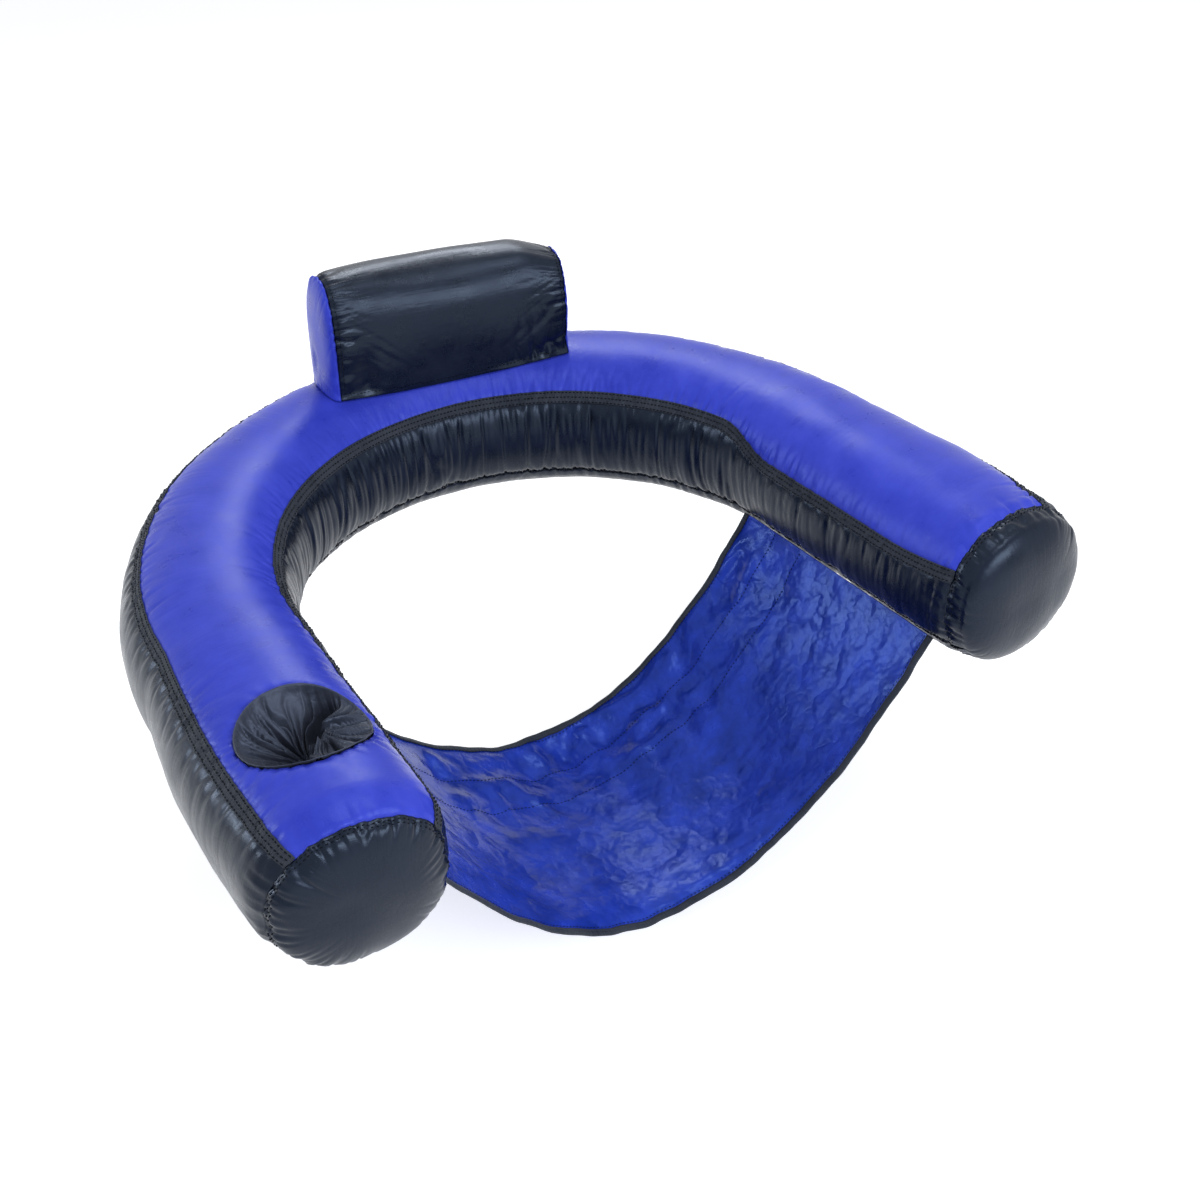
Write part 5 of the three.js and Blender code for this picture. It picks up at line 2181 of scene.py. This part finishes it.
@dataclass
class SeatSling:
    """The seat sling between the arms, its edge bindings, strap and stitching."""

    tube: TubePath
    relief: Relief
    rear: float = -0.314
    front: float = -0.607
    rear_low: float = -0.160
    front_low: float = -0.178
    front_shift: float = -0.026
    belly: float = 0.012
    power: float = 2.1
    width: float = 0.74
    cells_across: int = 190
    cells_along: int = 64
    binding: float = 0.0055
    strap_from_rear: float = 0.048
    strap_width: float = 0.050
    strap_gap: float = 0.0012
    strap_stitch: Stitch = Stitch(0.0046, 0.0030, 0.0004, lift=0.0004)
    binding_stitch: Stitch = Stitch(0.0046, 0.0030, 0.0004, lift=0.0018)
    slack: float = 0.030
    crease_count: int = 300
    rear_creases: CreaseRange = CreaseRange((0.004, 0.105), (0.010, 0.034), (-0.20, 0.20))
    wide_creases: CreaseRange = CreaseRange((0.0, 0.293), (0.025, 0.080), (-0.065, 0.065))
    main_creases: Tuple[Tuple[float, ...], ...] = (
        (0.30, 0.045, 1.1, 0.030, 0.0065),
        (0.19, 0.030, 0.7, 0.026, -0.0055),
        (-0.30, 0.060, 2.2, 0.025, 0.005),
    )
    second_crumple: float = 0.6

    def _depth(self) -> float:
        """Distance between the sling's edges."""
        return self.rear - self.front

    def _seam(self, y: Array) -> Tuple[Array, Array]:
        """X and Z of the far arm's lower inner seam at places along Y.

        Args:
            y: The places.

        Returns:
            X and Z at each.
        """
        along = np.linspace(self.tube.length * 0.55, self.tube.length, 900)
        turn = np.full_like(along, -self.tube.shape.lower_seam)
        points, _ = self.tube.surface(along, turn, 0.0016)
        x, places, z = points[np.argsort(points[:, 1])].T
        return np.interp(y, places, x), np.interp(y, places, z)

    def form(self, across: Array, share: Array) -> Array:
        """The hanging sheet's middle face.

        Args:
            across: -1 at the cup arm to 1 at the far arm, by arc length.
            share: 0 at the rear edge to 1 at the front edge.

        Returns:
            The points.
        """
        y = self.rear + (self.front - self.rear) * share
        end_x, end_z = self._seam(y)
        wave = np.sin(math.pi * share)
        low = self.rear_low + (self.front_low - self.rear_low) * share - self.belly * wave
        middle = self.front_shift * share
        spread = np.sign(across) * (1.0 - (1.0 - np.abs(across)) ** 1.22)
        x = spread * end_x
        reach = np.abs(x - middle) / (end_x - np.sign(x - middle) * middle)
        z = low + (end_z - low) * reach**self.power
        return np.stack([x, y, z], -1)

    def _crumple(self, across: Array, share: Array) -> Array:
        """Heights of sharp creases between flat facets, from many folded planes.

        Args:
            across: -1 at the cup arm to 1 at the far arm.
            share: 0 at the rear edge to 1 at the front edge.

        Returns:
            Heights.
        """
        chooser = np.random.default_rng(7)
        half = self.width / 2
        run = across * half
        rise = share * self._depth()
        height = np.zeros_like(run)
        folds = list(self.main_creases)
        for number in range(self.crease_count):
            kind = self.rear_creases if number % 3 > 0 else self.wide_creases
            ranges = (kind.depth, kind.reach, kind.slope)
            depth, reach, slope = (chooser.uniform(*limits) for limits in ranges)
            place = chooser.uniform(-half, half)
            folds.append((place, depth, chooser.uniform(0.0, math.pi), reach, slope * reach))
        for place_x, place_y, angle, reach, size in folds:
            x, y = run - place_x, rise - place_y
            off = x * math.cos(angle) + y * math.sin(angle)
            lengthwise = -x * math.sin(angle) + y * math.cos(angle)
            window = np.exp(-((off / reach) ** 2) - (lengthwise / (reach * 2.0)) ** 2)
            height += size * window * (1.0 - np.abs(off) / reach)
        return height

    def build(self, dress: Wardrobe) -> None:
        """Builds the sling and everything sewn to it.

        Args:
            dress: The materials.
        """
        whole = self._cloth_mesh()
        grid = coordinates(whole).reshape(self.cells_along + 1, self.cells_across + 1, 3)
        normals = self._normals(grid)
        made = Piece("sling_cloth", dress.sling, Slot.BLUE_NYLON, ("seat_sling",), wall=0.0008).add(whole)
        smooth = made.modifiers.new("smooth", "SUBSURF")
        smooth.levels = smooth.render_levels = 1
        made.modifiers.move(made.modifiers.find("smooth"), 0)
        sewn = [
            self._binding("sling_rear_binding", grid, normals, 0, 1, dress),
            self._binding("sling_front_binding", grid, normals, self.cells_along, -1, dress),
            self._strap(grid, normals, dress),
            self._stitching(grid, normals, dress),
        ]

    def _cloth_mesh(self) -> Mesh:
        """The sling's grid, hung with a little slack so that it creases.

        Returns:
            The mesh.
        """

        def place(run: Array, rise: Array) -> Array:
            """Points of the crumpled sheet.

            Args:
                run: Shares across the sling.
                rise: Shares over its depth.

            Returns:
                The points.
            """
            points = self.form(run * 2.0 - 1.0, rise)
            soft = self.relief.soft
            hem = np.minimum(rise, 1.0 - rise) * self._depth()
            off_seam = smooth_step(np.minimum(run, 1.0 - run) * self.width / 0.030)
            points[:, 2] += self._crumple(run * 2.0 - 1.0, rise) * (smooth_step(hem / 0.020) * off_seam)
            wander = soft(run * 11.0, rise * 2.0 + 4.0) + 0.5 * soft(run * 31.0, rise * 3.0)
            points[:, 1] += 0.0028 * wander * off_seam
            points[:, 2] += 0.0025 * soft(run * 14.0 + 5.0, rise * 3.0) * off_seam
            return points

        mesh = sheet_grid(self.cells_across, self.cells_along, place, (self.width, self._depth()))
        bmesh.ops.reverse_faces(mesh, faces=mesh.faces)
        shares = self._shares()
        hem = np.minimum(shares[:, 1], 1.0 - shares[:, 1]) * self._depth()
        ends = np.minimum(shares[:, 0], 1.0 - shares[:, 0])
        pins = np.maximum(1.0 - smooth_step((hem - 0.004) / 0.006), (ends < 0.006) * 1.0)
        points = coordinates(mesh)
        middle = points.mean(axis=0)
        growth = middle + (points - middle) * (1.0 + self.slack)
        hung = loose_object(mesh, "hung sling")
        relax_cloth(hung, pins, growth, pressure=0.0, weight=0.25, frames=24, reach=0.022)
        relaxed = coordinates_of(hung)
        second = self._crumple(1.0 - shares[:, 0] * 2.0, shares[:, 1])
        relaxed[:, 2] += self.second_crumple * second * (1.0 - pins)
        move_to(mesh, relaxed)
        bpy.data.objects.remove(hung)
        return mesh

    def _shares(self) -> Array:
        """Shares across and along of the grid's points, row by row.

        Returns:
            Two shares a row.
        """
        across = np.linspace(0.0, 1.0, self.cells_across + 1)
        along = np.linspace(0.0, 1.0, self.cells_along + 1)
        grid = np.meshgrid(across, along)
        return np.stack([grid[0].ravel(), grid[1].ravel()], -1)

    @staticmethod
    def _normals(grid: Array) -> Array:
        """Upward directions of the sheet at its grid points.

        Args:
            grid: The sheet's points by row and column.

        Returns:
            The directions by row and column.
        """
        across = np.gradient(grid, axis=1)
        along = np.gradient(grid, axis=0)
        normals = np.cross(along, across)
        normals /= np.linalg.norm(normals, axis=2, keepdims=True)
        return normals * np.sign(normals[..., 2:3])

    def _cell(self) -> float:
        """Distance from one row of the sheet's points to the next."""
        return self._depth() / self.cells_along

    def _row_at(self, values: Array, gap: float) -> Array:
        """One line across the sheet, at a distance from its rear edge."""
        columns = np.arange(self.cells_across + 1)
        return between(values, np.full(len(columns), gap / self._cell()), columns)

    def _binding(
        self, node: str, grid: Array, normals: Array, edge: int, inwards: int, dress: Wardrobe
    ) -> Object:
        """A tape folded over one edge.

        Args:
            node: The node that it replaces.
            grid: The sheet's points.
            normals: The sheet's upward directions.
            edge: The edge's row.
            inwards: Step from the edge's row into the sheet.
            dress: The materials.

        Returns:
            The binding.
        """
        line = grid[edge]
        up = normals[edge + inwards]
        into = grid[edge + 3 * inwards] - line
        into /= np.linalg.norm(into, axis=1, keepdims=True)
        half = 0.0011
        section = [
            (self.binding, half), (self.binding * 0.4, half + 0.0003), (0.0, half), (-0.0013, 0.0006),
            (-0.0013, -0.0006), (0.0, -half), (self.binding * 0.4, -half - 0.0003), (self.binding, -half),
        ]
        puckers = self.relief.fine(np.arange(len(line)) * 0.9, np.full(len(line), edge * 0.7))
        puckers = 1.0 + 0.35 * np.abs(puckers)

        def place(run: Array, rise: Array) -> Array:
            """Points of the folded tape.

            Args:
                run: Shares across the sling.
                rise: Shares round the fold.

            Returns:
                The points.
            """
            at = np.rint(run * (len(line) - 1)).astype(int)
            step = np.rint(rise * (len(section) - 1)).astype(int)
            shape = np.array(section)[step]
            depth = np.clip(shape[:, 0], 0, None) / self._cell()
            base = between(grid, edge + inwards * depth, at)
            base = base + into[at] * np.minimum(shape[:, 0], 0)[:, None]
            return base + up[at] * (shape[:, 1] * puckers[at])[:, None]

        strip = sheet_grid(len(line) - 1, len(section) - 1, place, (self.width, 2 * self.binding))
        face_outwards(strip)
        tape = Piece(f"{node}_tape", dress.tape, Slot.SEAM_TAPE, (node,)).add(strip)
        wall = tape.modifiers.new("wall", "SOLIDIFY")
        wall.thickness = 0.0006
        wall.offset = 0.0
        return tape

    def _strap(self, grid: Array, normals: Array, dress: Wardrobe) -> Object:
        """The strap under the sheet's rear part.

        Args:
            grid: The sheet's points by row and column.
            normals: The sheet's upward directions.
            dress: The materials.

        Returns:
            The strap.
        """

        def place(run: Array, rise: Array) -> Array:
            """Points of the strap.

            Args:
                run: Shares across the sling.
                rise: Shares over the strap's width.

            Returns:
                The points.
            """
            at = np.rint(run * self.cells_across).astype(int)
            row = (self.strap_from_rear + self.strap_width * rise) / self._cell()
            return between(grid, row, at) - normals[np.floor(row).astype(int), at] * self.strap_gap

        strap = sheet_grid(self.cells_across, 12, place, (self.width, self.strap_width))
        piece = Piece("sling_strap_band", dress.sling, Slot.BLUE_NYLON, ("sling_strap",), wall=0.0010)
        return piece.add(strap)

    def _stitching(self, grid: Array, normals: Array, dress: Wardrobe) -> Object:
        """Stitch rows along the strap's edges and the bindings.

        Args:
            grid: The sheet's points by row and column.
            normals: The sheet's upward directions.
            dress: The materials.

        Returns:
            The stitches.
        """
        strap_to = self.strap_from_rear + self.strap_width
        rows = bmesh.new()
        for gap, stitch in (
            (self.strap_from_rear + 0.003, self.strap_stitch),
            (strap_to - 0.003, self.strap_stitch),
            (0.007, self.binding_stitch),
            (self._depth() - 0.007, self.binding_stitch),
        ):
            stitch.sew(rows, self._row_at(grid, gap), self._row_at(normals, gap))
        return Piece("sling_stitches", dress.thread, Slot.BLUE_NYLON).add(rows)


@dataclass
class AirValve:
    """A push-in valve: weld flange, soft skirt, stem, one-way flap, plug and its tether."""

    prefix: str
    frame: Matrix
    steps: int = 64

    def _add(self, mesh: Mesh, part: str, body: str, dress: Wardrobe) -> Object:
        """Places a piece in the valve's frame; one that bends between two bodies rides on neither.

        Args:
            mesh: The mesh.
            part: What it is in the valve.
            body: What it rides on.
            dress: The materials.

        Returns:
            The object.
        """
        mesh.transform(self.frame)
        node = f"{self.prefix}_valve_{part}"
        return Piece(f"{node}_moulded", dress.vinyl, Slot.VINYL, (node,), body=body).add(mesh)

    def build(self, dress: Wardrobe) -> None:
        """Builds the valve's six pieces on their bodies.

        Args:
            dress: The materials.
        """
        stem, plug, flap = (f"{self.prefix}_{part}" for part in ("stem", "plug", "flap"))
        self._add(lathe([
            (0.0077, -0.0017), (0.0145, -0.0017), (0.0150, -0.0014), (0.0148, -0.0009), (0.0120, -0.0008),
            (0.0112, -0.0005), (0.0104, -0.0005), (0.0098, -0.0008), (0.0080, -0.0007), (0.0077, -0.0010),
        ], self.steps, True), "flange", "chair", dress)
        self._add(lathe([
            (0.0041, -0.0152), (0.0044, -0.0157), (0.0056, -0.0157), (0.0059, -0.0154), (0.0059, -0.0025),
            (0.0062, -0.0023), (0.0071, -0.0023), (0.0074, -0.0020), (0.0074, -0.0010), (0.0071, -0.0007),
            (0.0046, -0.0007), (0.0041, -0.0010),
        ], self.steps, True), "stem", stem, dress)
        self._add(lathe([
            (0.0, -0.0094), (0.0030, -0.0094), (0.0038, -0.0087), (0.0038, -0.0062), (0.0036, -0.0058),
            (0.0038, -0.0054), (0.0038, -0.0006), (0.0040, -0.0004), (0.0078, -0.0004), (0.0080, -0.0002),
            (0.0080, 0.0010), (0.0078, 0.0015), (0.0072, 0.0018), (0.0060, 0.0018), (0.0056, 0.0015),
            (0.0030, 0.0014), (0.0, 0.0014),
        ], self.steps, False), "plug", plug, dress)
        self._add(lathe([
            (0.0, -0.0168), (0.0050, -0.0168), (0.0056, -0.0166), (0.0056, -0.0161), (0.0050, -0.0160),
            (0.0, -0.0160),
        ], self.steps, False), "flap", flap, dress)
        skirt = self._skirt(dress)
        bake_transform(skirt)
        tether = self._tether(dress)
        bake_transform(tether)

    def _skirt(self, dress: Wardrobe) -> Object:
        """The soft skirt from the flange's bore down to the stem's foot.

        Args:
            dress: The materials.

        Returns:
            The skirt.
        """
        shares = np.linspace(0.0, 1.0, 14)
        outer = [(0.0091 - 0.0020 * s, -0.0020 - 0.0137 * s) for s in shares]
        inner = [(radius - 0.0008, height) for radius, height in reversed(outer)]
        return self._add(lathe(outer + inner, self.steps, True), "skirt", "", dress)

    def _tether(self, dress: Wardrobe) -> Object:
        """The strap that loops from the flange's rim to the plug's head.

        Args:
            dress: The materials.

        Returns:
            The tether.
        """
        foot, head = 0.0, 0.0014
        start, reach, width, thickness = 0.0083, 0.0045, 0.0035, 0.0004
        strap = bmesh.new()
        bmesh.ops.create_grid(strap, x_segments=26, y_segments=6, size=0.5)
        for vertex in strap.verts:
            turn = vertex.co.x * math.pi
            across = vertex.co.y * width
            radius = start + reach * math.cos(turn)
            height = (foot + head) / 2 + (head - foot) / 2 * math.sin(turn)
            vertex.co = (across, radius, height)
        bmesh.ops.recalc_face_normals(strap, faces=strap.faces)
        bmesh.ops.solidify(strap, geom=strap.faces[:], thickness=thickness)
        bmesh.ops.recalc_face_normals(strap, faces=strap.faces)
        return self._add(strap, "tether", "", dress)


# Studio


@dataclass(frozen=True)
class Studio:
    """Plain pale floor, soft lamps and the camera."""

    camera_place: Tuple[float, float, float] = (-0.6634, -1.5285, 1.0113)
    yaw: float = 0.546
    pitch: float = 0.622
    roll: float = -0.036
    lens: float = 48.0
    floor_height: float = -0.200
    lamp_target: Tuple[float, float, float] = (0.0, -0.3, 0.1)

    def floor(self) -> None:
        """A wide pale floor under the sling."""
        mesh = bmesh.new()
        bmesh.ops.create_grid(mesh, x_segments=1, y_segments=1, size=14.0)
        bmesh.ops.translate(mesh, vec=(0.0, 0.0, self.floor_height), verts=mesh.verts)
        material, tree, shader = start_material("pale floor")
        feed(tree, shader, {
            "Base Color": (0.80, 0.80, 0.81, 1.0),
            "Roughness": 0.9,
            "Specular IOR Level": 0.1,
            "Emission Color": (1.0, 1.0, 1.0, 1.0),
            "Emission Strength": self._seen(tree, 0.60, 0.0),
        })
        floor = loose_object(mesh, "floor")
        mesh.free()
        floor.data.materials.append(material)

    def lamp(
        self, name: str, place: Tuple, size: Tuple, power: float, tint: Colour = (0.95, 0.975, 1.0)
    ) -> None:
        """A soft oblong lamp that points at the chair's middle.

        Args:
            name: The lamp's name.
            place: Where it hangs.
            size: Its width and height.
            power: In watts.
            tint: Its colour.
        """
        data = bpy.data.lights.new(name, "AREA")
        data.shape = "RECTANGLE"
        data.size, data.size_y = size
        data.energy = power
        data.color = tint
        made = into_scene(name, data)
        made.location = place
        made.rotation_euler = (Vector(self.lamp_target) - Vector(place)).to_track_quat("-Z", "Y").to_euler()

    def lamps(self) -> None:
        """A key lamp overhead, one behind, one low beside the cup arm and a long one in front."""
        self.lamp("overhead", (0.3, -0.9, 2.5), (0.9, 0.9), 16.0)
        self.lamp("behind", (0.9, 1.3, 1.5), (0.8, 0.6), 15.0)
        self.lamp("side", (-2.2, 0.9, 1.0), (0.6, 0.6), 20.0, (0.88, 0.94, 1.0))
        self.lamp("front", (0.3, -2.5, 1.1), (1.6, 0.9), 36.0, (0.90, 0.95, 1.0))

    @staticmethod
    def _seen(tree: Tree, factor: float, floor: float) -> Socket:
        """A strength for what the camera, gloss and clear pieces see, and another for all else.

        Args:
            tree: The tree.
            factor: What these rays get above the rest.
            floor: What all rays get.

        Returns:
            The strength.
        """
        path = tree.nodes.new("ShaderNodeLightPath")
        seen = path.outputs["Is Camera Ray"]
        for title in ("Is Glossy Ray", "Is Transmission Ray"):
            seen = math_node(tree, "MAXIMUM", seen, path.outputs[title])
        return math_node(tree, "MULTIPLY_ADD", seen, factor, floor)

    def world(self) -> None:
        """Even pale light from all round, seen as white."""
        world = bpy.data.worlds.new("studio")
        bpy.context.scene.world = world
        world.use_nodes = True
        tree = world.node_tree
        feed(tree, tree.nodes["Background"], {
            "Color": (0.95, 0.97, 1.0, 1.0),
            "Strength": self._seen(tree, 0.58, 0.42),
        })

    def camera(self) -> None:
        """The camera at the picture's angle."""
        yaw, pitch = self.yaw, self.pitch
        ahead = Vector((math.sin(yaw) * math.cos(pitch), math.cos(yaw) * math.cos(pitch), -math.sin(pitch)))
        right = Vector((math.cos(yaw), -math.sin(yaw), 0.0))
        upward = right.cross(ahead)
        cosine, sine = math.cos(self.roll), math.sin(self.roll)
        level, rise = right * cosine + upward * sine, upward * cosine - right * sine
        data = bpy.data.cameras.new("camera")
        data.lens = self.lens
        data.sensor_width = 36.0
        made = into_scene("camera", data)
        turn = Matrix((level, rise, -ahead)).transposed().to_4x4()
        made.matrix_world = Matrix.Translation(self.camera_place) @ turn
        bpy.context.scene.camera = made

    def build(self) -> None:
        """Sets the stage."""
        self.floor()
        self.lamps()
        self.world()
        self.camera()
        bpy.context.scene.view_settings.view_transform = "Standard"


def main() -> None:
    """Builds the dressed chair in its studio."""
    logging.basicConfig(level=logging.INFO, format="%(message)s")
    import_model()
    dress = Wardrobe()
    tube = TubePath(TubeShape())
    cup = CupShape()
    relief = Relief(tube, cup)
    main_port = Port(valve_frame(
        Vector((0.921927, 0.387364, 0.0)),
        Vector((-0.386295, 0.919385, 0.074216)),
        Vector((-0.1648842, 0.0495699, 0.0927521)),
    ))
    head_port = Port(valve_frame(
        Vector((0.984808, -0.173648, 0.0)),
        Vector((0.173648, 0.984808, 0.0)),
        Vector((0.0673008, 0.0346058, 0.203)),
    ))
    cover = TubeCover(tube, relief, cup, main_port)
    cover.panels(dress)
    cover.tapes(dress)
    cover.caps(dress)
    cover.facing(dress)
    CupHolder(tube, relief, cup).lining(dress)
    AirBladder(tube, relief, cup, main_port).film(dress)
    HeadCushion(tube, relief, head_port).build(dress)
    SeatSling(tube, relief).build(dress)
    AirValve("main", main_port.frame).build(dress)
    AirValve("headrest", head_port.frame).build(dress)
    Studio().build()


if __name__ == "__main__":
    main()
